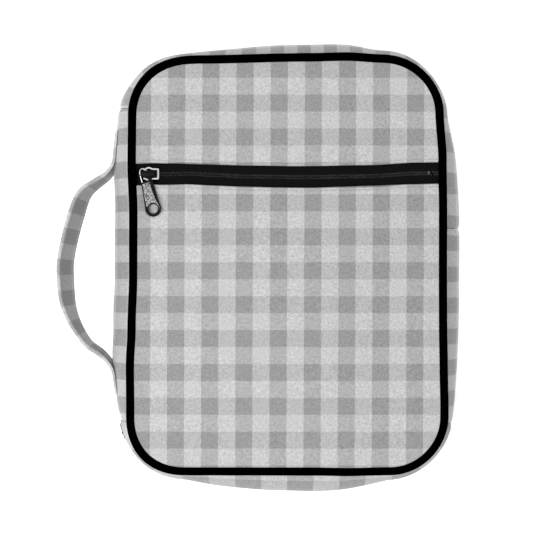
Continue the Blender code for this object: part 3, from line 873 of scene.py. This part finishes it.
def bent_wire(points, radius, sides, ring=False):
    """A small tube through points, for one stitch or one turn of a coil."""
    points = [Vector(p) for p in points]
    sections = []
    last = len(points) - 1
    for index, point in enumerate(points):
        if ring:
            ahead = points[(index + 1) % len(points)] - points[index - 1]
        else:
            ahead = points[min(index + 1, last)] - points[max(index - 1, 0)]
        flat = Vector((0, 1, 0)) if abs(ahead.y) < 1e-7 else Vector((0, 0, 1))
        axis = Vector((1, 0, 0)) if ring else flat
        side = (axis - ahead * ahead.dot(axis) / ahead.length_squared).normalized()
        other = ahead.normalized().cross(side)
        thin = radius * (0.55 if not ring and index in (0, last) else 1.0)
        sections.append([
            point + (side * math.cos(a) + other * math.sin(a)) * thin
            for a in (math.tau * step / sides for step in range(sides))
        ])
    return loft("one_repeat", sections, finish_for("thread"), ring=ring)


def stitch_piece(pitch):
    """One stitch: a short thread that dips into the cloth at both ends."""
    half, slant = pitch * STITCH_SHARE / 2, 0.12
    arch = ((-1.0, -0.20), (-0.7, 0.10), (0.0, 0.17), (0.7, 0.10), (1.0, -0.20))
    return bent_wire(
        [(half * share, half * slant * share, rise * MM) for share, rise in arch], 0.17 * MM, 5
    )


# Operators


class PanelsOperator(Operator):
    """Make the front's upper strip, the pocket's front and the back panel."""

    bl_idname = "bag.panels"
    bl_label = "Panels"

    def execute(self, context):
        plan = Plan(context.scene)
        above = plan.zip.height + plan.zip.pocket_shown / 2
        below = plan.zip.height - plan.zip.pocket_shown / 2
        top_end = plan.half_y - plan.inset
        self.front(plan, "front_panel_top_cloth", "front_panel_top", above, top_end, 1)
        self.front(plan, "front_pocket_cloth", "front_pocket", below, -top_end, -1)
        self.back(plan, top_end)
        return {"FINISHED"}

    def rows(self, start, end):
        """Heights from the folded edge to the far end, closer together near both."""
        way = 1 if end > start else -1
        run = abs(end - start)
        offsets = steps(0, 4 * MM, 0.4 * MM)[:-1] + steps(4 * MM, run - 8 * MM, 2.2 * MM)[:-1]
        offsets += [run - 8 * MM * (1 - share) ** 2 for share in spread(0, 1, 14)]
        return [start + way * offset for offset in offsets]

    def front(self, plan, name, node, start, end, way):
        """One front panel, from its folded edge at the pocket zip to its sewn end."""
        look, wall = plan.look, plan.bag.panel_wall
        sections = []
        fold = [(-math.cos(math.radians(a)), 1 - math.sin(math.radians(a))) for a in (15, 40, 65)]
        places = [(start + way * wall / 2 * (1 + x), pinch) for x, pinch in fold]
        places += [(y, 0.0) for y in self.rows(start + way * wall / 2, end)]
        for y, pinch in places:
            half = plan.half_width(y)
            bend = max(0.0, 1 - abs(y - start) / (plan.zip.shown * 3.5))
            top, foot = [], []
            for x in spread(-half, half, 84):
                bowed = y + (plan.zip_line(x) - plan.zip.height) * bend
                off = abs(y - start)
                z = plan.panel_top(x, bowed)
                z -= 0.30 * MM * math.exp(-(((off - STITCH_INSET) / (0.45 * MM)) ** 2))
                z += 0.16 * MM * math.exp(-(((off - 0.9 * MM) / (0.6 * MM)) ** 2))
                z += self.slack(plan, x, y, half, off)
                place = plan.settle(x, bowed)
                top.append(Vector((*place, z - wall / 2 * pinch)))
                foot.append(Vector((*place, plan.panel_top(x, bowed) - wall + wall / 2 * pinch)))
            sections.append(top + foot[::-1])
        low_edge = look.start_top if way > 0 else look.start_y
        made = loft(name, sections, finish_for("front"), uv=self.layers(look, sections, low_edge))
        wear(made, "gingham_front", node, fill=0.2)

    def slack(self, plan, x, y, half, off):
        """The cloth's own small unevenness, which dies out towards its sewn edges."""
        edge = min(half - abs(x), off, plan.half_y - plan.inset - abs(y))
        free = max(0.0, min(1.0, edge / (14 * MM)))
        long_wave = ripple((x, y * 0.6, 0), 46 * MM, 3.1) * 0.55 * MM
        short_wave = ripple((x, y, 0), 17 * MM, 7.7) * 0.12 * MM
        pucker = ripple((x, y, 0), 6 * MM, 1.3) * 0.10 * MM * max(0.0, 1 - edge / (7 * MM))
        return (long_wave + short_wave) * free + pucker

    def layers(self, look, sections, low_edge):
        """The cloth's own metres, and its count of checks from the start of a dark stripe."""
        def cloth(row, column):
            return sections[row % len(sections)][column % len(sections[0])].xy

        def checks(row, column):
            x, y = cloth(row, column)
            return (x - look.start_x - y * look.slant) / look.check_x, (y - low_edge) / look.check_y

        return {"checks": checks, "cloth": cloth}

    def back(self, plan, end):
        """The plain back panel, its edges lifted a little."""
        look, wall = plan.look, plan.bag.panel_wall
        sections = []
        inner = [-end + 8 * MM * share ** 2 for share in spread(0, 1, 14)]
        places = inner + steps(8 * MM - end, end - 8 * MM, 3 * MM)[1:-1] + [-y for y in inner[::-1]]
        for y in places:
            half = plan.half_width(y)
            low, high = [], []
            for x in spread(-half, half, 64):
                edge = min(half - abs(x), end - abs(y))
                lift = 0.5 * MM * max(0.0, 1 - edge / (5 * MM)) ** 2
                place = plan.settle(x, y)
                low.append(Vector((*place, lift)))
                high.append(Vector((*place, wall)))
            sections.append(low + high[::-1])
        layers = self.layers(look, sections, look.start_y)
        made = loft("back_panel_cloth", sections, finish_for("back"), uv=layers)
        wear(made, "gingham_back", "back_panel", fill=0.2)


class PipingOperator(Operator):
    """Make the cord piping round the front and the back."""

    bl_idname = "bag.piping"
    bl_label = "Piping"

    def execute(self, context):
        plan = Plan(context.scene)
        radius = plan.piping / 2
        for name, height in (("front_piping", plan.depth - radius), ("back_piping", radius)):
            sections, places = [], steps(0, plan.round, 2 * MM)
            for distance in places[:-1]:
                point = plan.at(distance, 0, height)
                fuller = 1.025 + 0.05 * point.y / plan.half_y
                section = []
                for side in range(PIPING_SIDES):
                    angle = math.tau * side / PIPING_SIDES
                    wobble = fuller + 0.03 * ripple(point + Vector((angle, 0, 0)) * MM, 9 * MM, 2.0)
                    reach = radius * math.cos(angle) * wobble
                    rise = radius * math.sin(angle) * min(wobble, 1.0)
                    section.append(plan.at(distance, reach, height + rise))
                sections.append(section)
            girth = math.pi * plan.piping
            layers = {"cloth": lambda row, column: (places[row], column / PIPING_SIDES * girth)}
            made = loft(name + "_cloth", sections, finish_for("piping"), ring=True, uv=layers)
            wear(made, "piping", name)
        return {"FINISHED"}


def stripes_before(darks, place):
    """How many stripes, dark and light, lie before a place, where dark stripes start at darks."""
    index = 0
    while index < len(darks) - 2 and place > darks[index + 1]:
        index += 1
    return 2 * (index + (place - darks[index]) / (darks[index + 1] - darks[index]))


def wall_band(plan, name, span, heights, finish, checks):
    """A length of the side wall, with folded edges and a sunk seam at each end."""
    start, end = span
    profile = rounded_section(*heights, plan.bag.wall, 1.6 * MM)
    seam_depth, seam_width = 0.7 * MM, 1.6 * MM
    places = steps(start, start + 5 * MM, 0.6 * MM)[:-1]
    places += steps(start + 5 * MM, end - 5 * MM, 2.2 * MM)
    places += steps(end - 5 * MM, end, 0.6 * MM)[1:]
    sections = []
    for distance in places:
        sink = seam_depth * sum(
            math.exp(-(((distance - seam) / seam_width) ** 2)) for seam in span
        )
        section = []
        for z, inward in profile:
            held = min(max(z, heights[0]), heights[1])
            edge = min(plan.high - held, held - plan.low) / (12 * MM)
            pucker = 0.22 * MM * ripple((distance * 1.6, held * 0.5, 0), 5 * MM, 5.0)
            pucker *= max(0, 1 - edge)
            sag = 0.45 * MM * ripple((distance, held, 0), 24 * MM, 9.0) * min(1.0, edge)
            reach = plan.wall_reach(distance, held) - plan.bag.wall * inward - sink
            section.append(plan.at(distance, reach + min(pucker + sag, 0.25 * MM), held))
        sections.append(section)
    count = len(profile)

    def cloth(row, column):
        z = profile[column % count][0]
        return places[row], z

    def check_pair(row, column):
        across = (plan.high - profile[column % count][0]) / MM - checks["row"]
        if checks["darks"]:
            along = stripes_before(checks["darks"], (places[row] - plan.starts[checks["run"]]) / MM)
        else:
            along = (sections[row][column % count].y - plan.look.start_y) / plan.look.check_y
        return along, across / checks["check"]

    return loft(name, sections, finish, uv={"checks": check_pair, "cloth": cloth})


class GussetOperator(Operator):
    """Make the side wall's front and back halves, each of three lengths sewn end to end."""

    bl_idname = "bag.gusset"
    bl_label = "Gusset"

    def execute(self, context):
        plan = Plan(context.scene)
        spans = {
            "top": (plan.spine_high, plan.right_seam),
            "right": (plan.right_seam, plan.bottom_seam),
            "bottom": (plan.bottom_seam, plan.round + plan.spine_low),
        }
        halves = {"front": (plan.zip_high, plan.high), "back": (plan.low, plan.zip_low)}
        for half, heights in halves.items():
            for part, (start, end) in spans.items():
                node = f"gusset_{half}_{part}"
                span = (start + GAP / 2, end - GAP / 2)
                cloth = finish_for("gusset")
                made = wall_band(plan, node + "_cloth", span, heights, cloth, WALL_CHECKS[part])
                wear(made, "gingham_gusset", node, fill=0.15)
        return {"FINISHED"}


class SpineOperator(Operator):
    """Make the cloth spine that the handle is sewn to."""

    bl_idname = "bag.spine"
    bl_label = "Spine"

    def execute(self, context):
        plan = Plan(context.scene)
        span = (plan.spine_low + GAP / 2, plan.spine_high - GAP / 2)
        heights, cloth = (plan.low, plan.high), finish_for("spine")
        made = wall_band(plan, "spine_cloth", span, heights, cloth, WALL_CHECKS["spine"])
        wear(made, "gingham_spine", "spine", fill=0.15)
        return {"FINISHED"}


def curve_value(table, place, column):
    """The table's column at this place, on a smooth curve through its rows."""
    last = len(table) - 1
    index = 0
    while index < last - 1 and place > table[index + 1][0]:
        index += 1
    rows = [table[min(max(index + step, 0), last)] for step in (-1, 0, 1, 2)]
    share = (place - rows[1][0]) / (rows[2][0] - rows[1][0])
    slopes = [
        (rows[n + 1][column] - rows[n - 1][column]) / max(rows[n + 1][0] - rows[n - 1][0], 1e-6)
        * (rows[2][0] - rows[1][0]) for n in (1, 2)
    ]
    a, b = rows[1][column], rows[2][column]
    square, cube = share ** 2, share ** 3
    return (
        (2 * cube - 3 * square + 1) * a + (cube - 2 * square + share) * slopes[0]
        + (3 * square - 2 * cube) * b + (cube - square) * slopes[1]
    )


def smooth_line(points, count):
    """Points on a smooth curve through these, count to each stretch."""
    table = [(index, *point) for index, point in enumerate(points)]
    places = spread(0, len(points) - 1, count * (len(points) - 1))
    return [[curve_value(table, place, column) for column in (1, 2)] for place in places]


def strap_middles(plan):
    """Points along the strap's middle line, with its way out and how free it is there."""
    strap = plan.strap
    middles = []
    for place in spread(-0.5, 0.5, 130):
        y = strap.rise + place * strap.span
        distance = y - plan.turn_low + plan.half_y
        share = max(0.0, curve_value(HANDLE_LINE, place, 1))
        seat = plan.wall_reach(distance, plan.middle) + GAP + strap.wall / 2
        middle = plan.at(distance, seat + share * strap.reach, plan.middle)
        middles.append((middle, distance, share, curve_value(HANDLE_LINE, place, 2)))
    found, last, run = [], len(middles) - 1, 0.0
    for index, (middle, distance, share, lean) in enumerate(middles):
        ahead = middles[min(index + 1, last)][0] - middles[max(index - 1, 0)][0]
        run += (middle - middles[max(index - 1, 0)][0]).length
        out = Vector((-ahead.y, ahead.x, 0)).normalized()
        free = min(1.0, share * 2)
        from_end = min(index, last - index) / last
        thick = min(1.0, 0.20 + 0.15 * min(1.0, from_end / 0.08) + 0.65 * min(1.0, share * 4))
        found.append({
            "middle": middle - out * (1 - thick) * strap.wall / 2, "distance": distance,
            "free": free, "lean": lean, "out": out, "run": run, "thick": thick,
        })
    return found


def strap_point(plan, at, rise, out_by):
    """A point of the strap, at a height across it and a distance out from its middle."""
    curl = plan.wall_reach(at["distance"], plan.middle) - plan.wall_reach(
        at["distance"], plan.middle + rise
    )
    lean = math.sin(plan.strap.lean * at["lean"]) * rise
    away = lean - curl * (1 - at["free"]) + out_by * at["thick"]
    return at["middle"] + Vector((0, 0, rise)) + at["out"] * away


class HandleOperator(Operator):
    """Make the padded strap handle, with its rolled and stitched edges."""

    bl_idname = "bag.handle"
    bl_label = "Handle"

    def execute(self, context):
        plan = Plan(context.scene)
        strap = plan.strap
        half_width, half_wall = strap.width / 2, strap.wall / 2
        profile = []
        for step in range(STRAP_SIDES):
            angle = math.tau * step / STRAP_SIDES
            x, y = math.cos(angle), math.sin(angle)
            profile.append((
                half_width * math.copysign(abs(y) ** 0.22, y),
                half_wall * math.copysign(abs(x) ** 0.45, x),
            ))
        found = strap_middles(plan)
        sections = []
        for at in found:
            section = []
            for rise, out_by in profile:
                from_edge = half_width - abs(rise)
                dent = 0.35 * MM * math.exp(-(((from_edge - STRAP_INSET) / (0.7 * MM)) ** 2))
                dent *= math.copysign(min(1.0, abs(out_by) / half_wall), out_by)
                crumple = 0.10 * MM * ripple((at["run"], rise, out_by), 7 * MM, 4.0)
                section.append(strap_point(plan, at, rise, out_by - dent + crumple))
            sections.append(section)
        place = HANDLE_CHECKS

        def cloth(row, column):
            rise, out_by = profile[column % STRAP_SIDES]
            return found[row]["run"], rise + out_by

        def checks(row, column):
            # The light check rows along both edges are print that also paints the light on the
            # rolled edges.
            rise, out_by = profile[column % STRAP_SIDES]
            along = (found[row]["run"] - place["start"]) / place["check"]
            return along, (rise + out_by + place["foot"]) / place["row"]

        layers = {"checks": checks, "cloth": cloth}
        made = loft("handle_strap", sections, finish_for("handle"), uv=layers)
        wear(made, "gingham_handle", "handle", fill=0.5)
        return {"FINISHED"}


class TapesOperator(Operator):
    """Make the woven tapes of both zips."""

    bl_idname = "bag.tapes"
    bl_label = "Zip Tapes"

    def execute(self, context):
        plan = Plan(context.scene)
        size = plan.zip
        start, end = plan.spine_high - size.tuck, plan.round + plan.spine_low + size.tuck
        spans = {
            "main_zip_tape_front": (plan.middle + size.tape_gap, plan.zip_high + size.tuck),
            "main_zip_tape_back": (plan.zip_low - size.tuck, plan.middle - size.tape_gap),
        }
        for node, heights in spans.items():
            profile = rounded_section(*heights, size.tape, 1.2 * MM)
            places = steps(start, end, 2.2 * MM)
            sections = [[
                plan.at(d, plan.wall_reach(d, z) - plan.tape_inset - size.tape * inward, z)
                for z, inward in profile
            ] for d in places]
            cloth = lambda row, column: (places[row], profile[column % len(profile)][0])
            made = loft(node + "_weave", sections, finish_for("tape"), uv={"cloth": cloth})
            wear(made, "zip_tape", node)
        side = plan.half_x - plan.inset
        for node, way in (("pocket_zip_tape_upper", 1), ("pocket_zip_tape_lower", -1)):
            sections, across = [], steps(-side, side, 2.2 * MM)
            reach = (size.tape_gap, size.shown / 2 + size.tuck)
            profile = rounded_section(*reach, size.tape, 1.2 * MM)
            for x in across:
                section = []
                for away, inward in profile:
                    y = plan.zip_line(x) + way * away
                    z = plan.panel_top(x, y) - plan.bag.panel_wall - GAP - size.tape * inward
                    section.append(Vector((*plan.settle(x, y), z)))
                sections.append(section)
            cloth = lambda row, column: (across[row], profile[column % len(profile)][0])
            made = loft(node + "_weave", sections, finish_for("tape"), uv={"cloth": cloth})
            wear(made, "zip_tape", node)
        return {"FINISHED"}


class CoilsOperator(Operator):
    """Make both zips' coils, turn by turn."""

    bl_idname = "bag.coils"
    bl_label = "Zip Coils"

    def execute(self, context):
        plan = Plan(context.scene)
        size = plan.zip
        side = plan.half_x - plan.inset
        first = plan.inset - plan.half_x + size.slider_end + 3.1 * MM + GAP
        up = Vector((0, 0, 1))
        pocket = [(plan.pocket_coil_point(x), up) for x in steps(first, side, 2 * MM)]
        middle_at = plan.round + plan.spine_low - size.main_end - size.slider / 2
        main = [
            (plan.coil_point(d), self.normal(plan, d))
            for d in steps(plan.spine_high + GAP, middle_at - size.slider * 0.75, 2 * MM)
        ]
        for node, line in (("pocket_zip_coil", pocket), ("main_zip_coil", main)):
            rows = [line, self.turned_round(line, size.coil_pitch / 2)]
            made = repeat_rows(
                node + "_turns", rows, self.turn(), size.coil_pitch, finish_for("coil")
            )
            wear(made, "zip_coil", node)
        return {"FINISHED"}

    def normal(self, plan, distance):
        _, _, _, normal = plan.place(distance)
        return Vector((*normal, 0))

    def turn(self):
        """One turn of the coil, from its head in the gap to its back under the tape."""
        ring = [
            (math.sin(math.tau * step / len(COIL_TURN)) * 0.16 * MM, across * MM, height * MM)
            for step, (across, height) in enumerate(COIL_TURN)
        ]
        return bent_wire(ring, 0.30 * MM, 6, ring=True)

    def turned_round(self, line, skip):
        """The line from its far end, moved along itself so the two rows' turns mesh."""
        points = []
        last = len(line) - 1
        for index, (point, up) in enumerate(line):
            ahead = line[min(index + 1, last)][0] - line[max(index - 1, 0)][0]
            points.append((point + ahead.normalized() * skip, up))
        return points[::-1]


def metals():
    """The finishes that METALS names, in that order."""
    return [finish_for(key) for key in METALS]


def joined(name, parts, placement):
    """One piece from several in a frame of their own, moved to its place on the bag."""
    made = bmesh.new()
    for part in parts:
        made.from_mesh(part.data)
        bpy.data.objects.remove(part)
    made.transform(placement)
    bmesh.ops.recalc_face_normals(made, faces=made.faces)
    mesh = bpy.data.meshes.new(name)
    made.to_mesh(mesh)
    made.free()
    for item in metals():
        mesh.materials.append(item)
    obj = bpy.data.objects.new(name, mesh)
    bpy.context.scene.collection.objects.link(obj)
    return obj


def in_metal(part, choose):
    """Each face's finish, as choose says from its middle and its normal, in millimetres."""
    for face in part.data.polygons:
        face.material_index = METALS.index(choose(face.center / MM, face.normal))
    return part


def plate_half(x):
    """Half the slider's width here, in millimetres."""
    for (low, first), (high, second) in zip(SLIDER_SIDE, SLIDER_SIDE[1:]):
        if x <= high:
            return first + (second - first) * (x - low) / (high - low)
    return SLIDER_SIDE[-1][1]


def slider_plate(size, top, framed):
    """One of the slider's two plates, its flanges turned to the other. The upper one has rails."""
    nose, tail = SLIDER_SIDE[0][0], SLIDER_SIDE[-1][0]
    under, flange = top - PLATE_WALL, size.tape / 2 / MM + FLANGE_GAP
    sections = []
    for x in spread(nose, tail, 36):
        half = plate_half(x)
        crest = top - (0.25 if x in (nose, tail) else 0.0)
        inner = half - RAIL
        railed = framed and nose + 1.6 < x < tail - RAIL
        sunk = crest - (0.45 if railed else 0.0)
        slot = min(half - 0.5, size.coil_width / 2 / MM + 0.3)
        right = [
            (half, flange), (half, crest - 0.3), (half - 0.25, crest), (inner, crest),
            (inner - 0.12, sunk), (0.0, sunk),
        ]
        left = [(-y, z) for y, z in reversed(right[:-1])]
        inside = [(-slot, flange), (-slot, under), (slot, under), (slot, flange)]
        sections.append([Vector((x, y, z)) * MM for y, z in right + left + inside])
    return loft("plate", sections, metals())


def flat_bar(path, width, wall):
    """A bar through points of (x, height, share of the width), all in millimetres."""
    sections = []
    last = len(path) - 1
    for index, (x, z, share) in enumerate(path):
        ahead = Vector(path[min(index + 1, last)][:2]) - Vector(path[max(index - 1, 0)][:2])
        over = Vector((-ahead.y, ahead.x)).normalized() * wall / 2
        half, edge = width * share / 2, min(width, wall) * 0.22
        corners = (
            (half - edge, 1.0), (half, 0.5), (half, -0.5), (half - edge, -1.0),
            (edge - half, -1.0), (-half, -0.5), (-half, 0.5), (edge - half, 1.0),
        )
        sections.append([Vector((x + over.x * k, y, z + over.y * k)) * MM for y, k in corners])
    return loft("bar", sections, metals())


def cut_plate(outlines, low, high, bevel):
    """A flat plate in one or more outlines, the later ones its holes, with rounded edges."""
    curve = bpy.data.curves.new("plate", "CURVE")
    curve.dimensions, curve.fill_mode = "2D", "BOTH"
    curve.extrude = (high - low) / 2 * MM - bevel * MM
    curve.bevel_depth, curve.bevel_resolution = bevel * MM, 1
    for outline in outlines:
        spline = curve.splines.new("POLY")
        spline.points.add(len(outline) - 1)
        for point, (x, y) in zip(spline.points, outline):
            point.co = (x * MM, y * MM, 0, 1)
        spline.use_cyclic_u = True
    obj = bpy.data.objects.new("plate", curve)
    bpy.context.scene.collection.objects.link(obj)
    mesh = bpy.data.meshes.new_from_object(obj.evaluated_get(bpy.context.evaluated_depsgraph_get()))
    bpy.data.objects.remove(obj)
    mesh.transform(Matrix.Translation((0, 0, (low + high) / 2 * MM)))
    plate = bpy.data.objects.new("plate", mesh)
    bpy.context.scene.collection.objects.link(plate)
    mesh.polygons.foreach_set("use_smooth", [True] * len(mesh.polygons))
    mesh.set_sharp_from_angle(angle=math.radians(40))
    mesh.materials.clear()
    for item in metals():
        mesh.materials.append(item)
    return plate


def arc(middle, radius, first, last, count):
    """Points on a circle, from one angle to another in degrees."""
    turn = [math.radians(a) for a in spread(first, last, count)]
    return [(middle[0] + radius * math.cos(a), middle[1] + radius * math.sin(a)) for a in turn]


def slider_places(plan):
    """Where each slider's own frame lies: x to its open end, z away from the bag."""
    pocket = plan.pocket_coil_point(
        plan.inset - plan.half_x + plan.zip.slider_end + plan.zip.slider / 2
    )
    middle, along, out = plan.slider_frame()
    turned = Matrix((along, Vector((0, 0, 1)), out)).transposed().to_4x4()
    sunk = Matrix.Translation(middle - out * MAIN_SLIDER_SINK)
    return {
        "pocket": Matrix.Translation(pocket),
        "main": sunk @ turned @ Matrix.Diagonal(MAIN_SLIDER_SCALE),
    }


class SlidersOperator(Operator):
    """Make both zip sliders with their bridges."""

    bl_idname = "bag.sliders"
    bl_label = "Zip Sliders"

    def execute(self, context):
        plan = Plan(context.scene)
        size = plan.zip
        top = size.coil_height / 2 / MM + PLATE_GAP + PLATE_WALL
        tail = SLIDER_SIDE[-1][0]
        for where, placement in slider_places(plan).items():
            # The upper plate is black at its nose and sunk middle, painted shade and painted dark
            # reflection; only its rails and tail keep the bright metal.
            upper = in_metal(
                slider_plate(size, top, True),
                lambda middle, normal: "metal" if middle.x > PAINTED_DARK_NOSE and (
                    abs(middle.y) > plate_half(middle.x) - RAIL - 0.05 or middle.x > tail - RAIL
                ) else "black",
            )
            lower = in_metal(slider_plate(size, top, False), lambda middle, normal: "metal")
            lower.data.transform(Matrix.Diagonal((1, 1, -1, 1)))
            ends = (-top + POST_INSET, top - POST_INSET)
            post = flat_bar([(POST_PLACE, z, 1.0) for z in ends], POST_WIDTH, POST_WALL)
            line = [(x, top + z, share) for x, z, share in BRIDGE_LINE]
            bridge = flat_bar(line, BRIDGE_WIDTH, BRIDGE_WALL)
            # The post and the bridge are black as well: painted dark reflection on the bridge,
            # painted shade on the post between the plates.
            for part in (post, bridge):
                in_metal(part, lambda middle, normal: "black")
            node = f"{where}_zip_slider"
            made = joined(node + "_metal", [upper, lower, post, bridge], placement)
            wear(made, "zip_metal", node)
        return {"FINISHED"}


class PullsOperator(Operator):
    """Make both zip pulls, each a tab on a wire ring."""

    bl_idname = "bag.pulls"
    bl_label = "Zip Pulls"

    def execute(self, context):
        plan = Plan(context.scene)
        top = plan.zip.coil_height / 2 + GAP + PLATE_WALL * MM
        places = slider_places(plan)
        middle = places["pocket"].translation
        lift = top + GAP
        end_x = middle.x + (BRIDGE_LEG + PULL_SIDE) * MM + math.sin(PULL_SWING) * PULL_RUN
        end_y = middle.y - math.cos(PULL_SWING) * PULL_RUN
        rest = plan.panel_top(end_x, end_y) + GAP - middle.z
        slope = max(0.0, (rest - lift) / PULL_RUN)
        turn = Euler((-math.atan(slope), 0, PULL_SWING)).to_matrix().to_4x4()
        flat = Matrix.Translation((BRIDGE_LEG * MM, 0, lift + slope * PULL_NECK)) @ turn
        link = -PULL_RING[-1][1] * MM
        down, out = link * (1 - math.cos(PULL_HANG)), lift + link * math.sin(PULL_HANG)
        tilt = Euler((-PULL_HANG, 0, 0)).to_matrix().to_4x4()
        lay = {
            # the tab's place and the ring's. The main zip's ring leans out over the cloth's edge
            "pocket": (flat, flat),
            "main": (
                Matrix.Translation((BRIDGE_LEG * MM, down, out)),
                Matrix.Translation((BRIDGE_LEG * MM, 0, lift)) @ tilt,
            ),
        }
        for where, (tab_place, ring_place) in lay.items():
            node = f"{where}_zip_pull"
            parts = self.parts()
            for part, local in zip(parts, (tab_place, tab_place, ring_place)):
                part.data.transform(local)
            made = joined(node + "_metal", parts, places[where])
            wear(made, "zip_metal", node)
        return {"FINISHED"}

    def parts(self):
        """The tab, its textured face and the wire ring, in the pull's own frame."""
        outline = [*PULL_LEFT, *arc(PULL_HOLE, TAB_END, 172, 368, 22), *PULL_RIGHT]
        tab = cut_plate([outline, arc(PULL_HOLE, HOLE_RADIUS, 0, 350, 28)], 0.0, TAB_WALL, 0.2)
        # The tab is black: painted shade on its bevelled sides and rim around the bright face.
        in_metal(tab, lambda middle, normal: "black")
        rim = arc(PULL_HOLE, FACE_END, 3, 145, 14)
        face = cut_plate([[*FACE_RIGHT, *rim, *FACE_LEFT]], *FACE_LEVELS, 0.1)
        in_metal(face, lambda middle, normal: "hammered" if normal.z > 0.7 else "metal")
        line = [(x * MM, y * MM, RING_LEVEL * MM) for x, y in smooth_line(PULL_RING, 4)]
        ring = bent_wire(line, RING_WIRE * MM, 10)
        ring.data.materials.clear()
        in_metal(ring, lambda middle, normal: "metal")
        return [tab, face, ring]


class StitchesOperator(Operator):
    """Sew the rows of stitches along the pocket zip and the strap."""

    bl_idname = "bag.stitches"
    bl_label = "Stitches"

    def execute(self, context):
        plan = Plan(context.scene)
        pitch = plan.look.stitch
        side = plan.half_x - plan.inset
        rows = []
        for way in (1, -1):
            row = []
            for x in steps(-side + 1 * MM, side - 1 * MM, 2 * MM):
                y = plan.zip_line(x) + way * (plan.zip.pocket_shown / 2 + STITCH_INSET)
                z = plan.panel_top(x, y) - 0.14 * MM
                row.append((Vector((*plan.settle(x, y), z)), (0, 0, 1)))
            rows.append(row)
        made = repeat_rows(
            "pocket_zip_stitches", rows, stitch_piece(pitch), pitch, finish_for("thread")
        )
        wear(made, "gingham_front")
        rows = []
        for edge in (1, -1):
            for face in (1, -1):
                row = []
                for at in strap_middles(plan)[2:-2]:
                    rise = edge * (plan.strap.width / 2 - STRAP_INSET)
                    point = strap_point(plan, at, rise, face * (plan.strap.wall / 2 - 0.30 * MM))
                    row.append((point, at["out"] * face))
                rows.append(row)
        made = repeat_rows(
            "handle_stitches", rows, stitch_piece(pitch), pitch, finish_for("thread")
        )
        wear(made, "gingham_handle")
        return {"FINISHED"}


class StageOperator(Operator):
    """Set the floor, the soft light and the camera."""

    bl_idname = "bag.stage"
    bl_label = "Stage"

    def execute(self, context):
        scene = context.scene
        look = scene.bag_stage
        finish = Finish("pale_floor", 0.9)
        grain = finish.mottle(60.0, 2.0)
        finish.paint(finish.tint((0.93, 0.93, 0.93, 1.0), 0.99 + grain * 0.02))
        finish.surface.inputs["Specular IOR Level"].default_value = 0.0
        finish.surface.inputs["Emission Color"].default_value = (1, 1, 1, 1)
        finish.surface.inputs["Emission Strength"].default_value = 0.45
        ways = ((-1, -1), (1, -1), (1, 1), (-1, 1))
        corners = [(x * FLOOR_HALF, y * FLOOR_HALF, -FLOOR_DROP) for x, y in ways]
        floor = make_object("floor", corners, [(0, 1, 2, 3)], finish.material)
        world = bpy.data.worlds.new("studio")
        world.use_nodes = True
        sky = world.node_tree
        way = sky.nodes.new("ShaderNodeTexCoord")
        parts = sky.nodes.new("ShaderNodeSeparateXYZ")
        fade = sky.nodes.new("ShaderNodeMapRange")
        fade.inputs["To Min"].default_value = look.horizon
        fade.inputs["To Max"].default_value = look.sky
        sky.links.new(way.outputs["Generated"], parts.inputs[0])
        sky.links.new(parts.outputs["Z"], fade.inputs["Value"])
        sky.nodes["Background"].inputs["Color"].default_value = (1, 1, 1, 1)
        sky.links.new(fade.outputs[0], sky.nodes["Background"].inputs["Strength"])
        scene.world = world
        lamps = {
            # name: place, size, watts
            "key_light": ((-0.75, -0.30, 1.05), 0.9, 11.0),
            "fill_light": ((0.9, 0.8, 1.5), 1.4, 2.0),
        }
        for name, (place, width, power) in lamps.items():
            lamp = bpy.data.lights.new(name, "AREA")
            lamp.size = width
            lamp.energy = power
            obj = bpy.data.objects.new(name, lamp)
            scene.collection.objects.link(obj)
            obj.location = place
            obj.rotation_euler = (-Vector(place)).to_track_quat("-Z", "Y").to_euler()
        camera = bpy.data.cameras.new("camera")
        camera.sensor_width = 36
        camera.lens = look.focal
        camera.clip_start = 0.01
        eye = bpy.data.objects.new("camera", camera)
        scene.collection.objects.link(eye)
        eye.location = (look.camera_x, look.camera_y, look.camera_height)
        scene.camera = eye
        scene.view_settings.view_transform = "Standard"
        return {"FINISHED"}


class BagPanel(Panel):
    """Lists the steps and the sizes."""

    bl_idname = "VIEW3D_PT_bible_bag"
    bl_label = "Bible Bag"
    bl_space_type = "VIEW_3D"
    bl_region_type = "UI"
    bl_category = "Bible Bag"

    def draw(self, context):
        layout = self.layout
        for step in STEPS:
            layout.operator(step.bl_idname)
        for name, group in GROUPS.items():
            box = layout.box()
            box.label(text=group.__doc__)
            for prop in group.__annotations__:
                box.prop(getattr(context.scene, name), prop)


STEPS = (
    StageOperator, PanelsOperator, PipingOperator, GussetOperator, SpineOperator, HandleOperator,
    TapesOperator, CoilsOperator, SlidersOperator, PullsOperator, StitchesOperator,
)
GROUPS = {
    "bag_shape": BagShape,
    "bag_handle": HandleShape,
    "bag_zips": ZipShape,
    "bag_cloth": ClothLook,
    "bag_stage": StageLook,
}


def register():
    for item in (*GROUPS.values(), *STEPS, BagPanel):
        bpy.utils.register_class(item)
    for name, group in GROUPS.items():
        setattr(bpy.types.Scene, name, PointerProperty(type=group))


def unregister():
    for name in GROUPS:
        delattr(bpy.types.Scene, name)
    for item in (BagPanel, *reversed(STEPS), *reversed(GROUPS.values())):
        bpy.utils.unregister_class(item)


def main():
    register()
    for step in STEPS:
        group, name = step.bl_idname.split(".")
        getattr(getattr(bpy.ops, group), name)()
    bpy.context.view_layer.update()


if __name__ == "__main__":
    main()
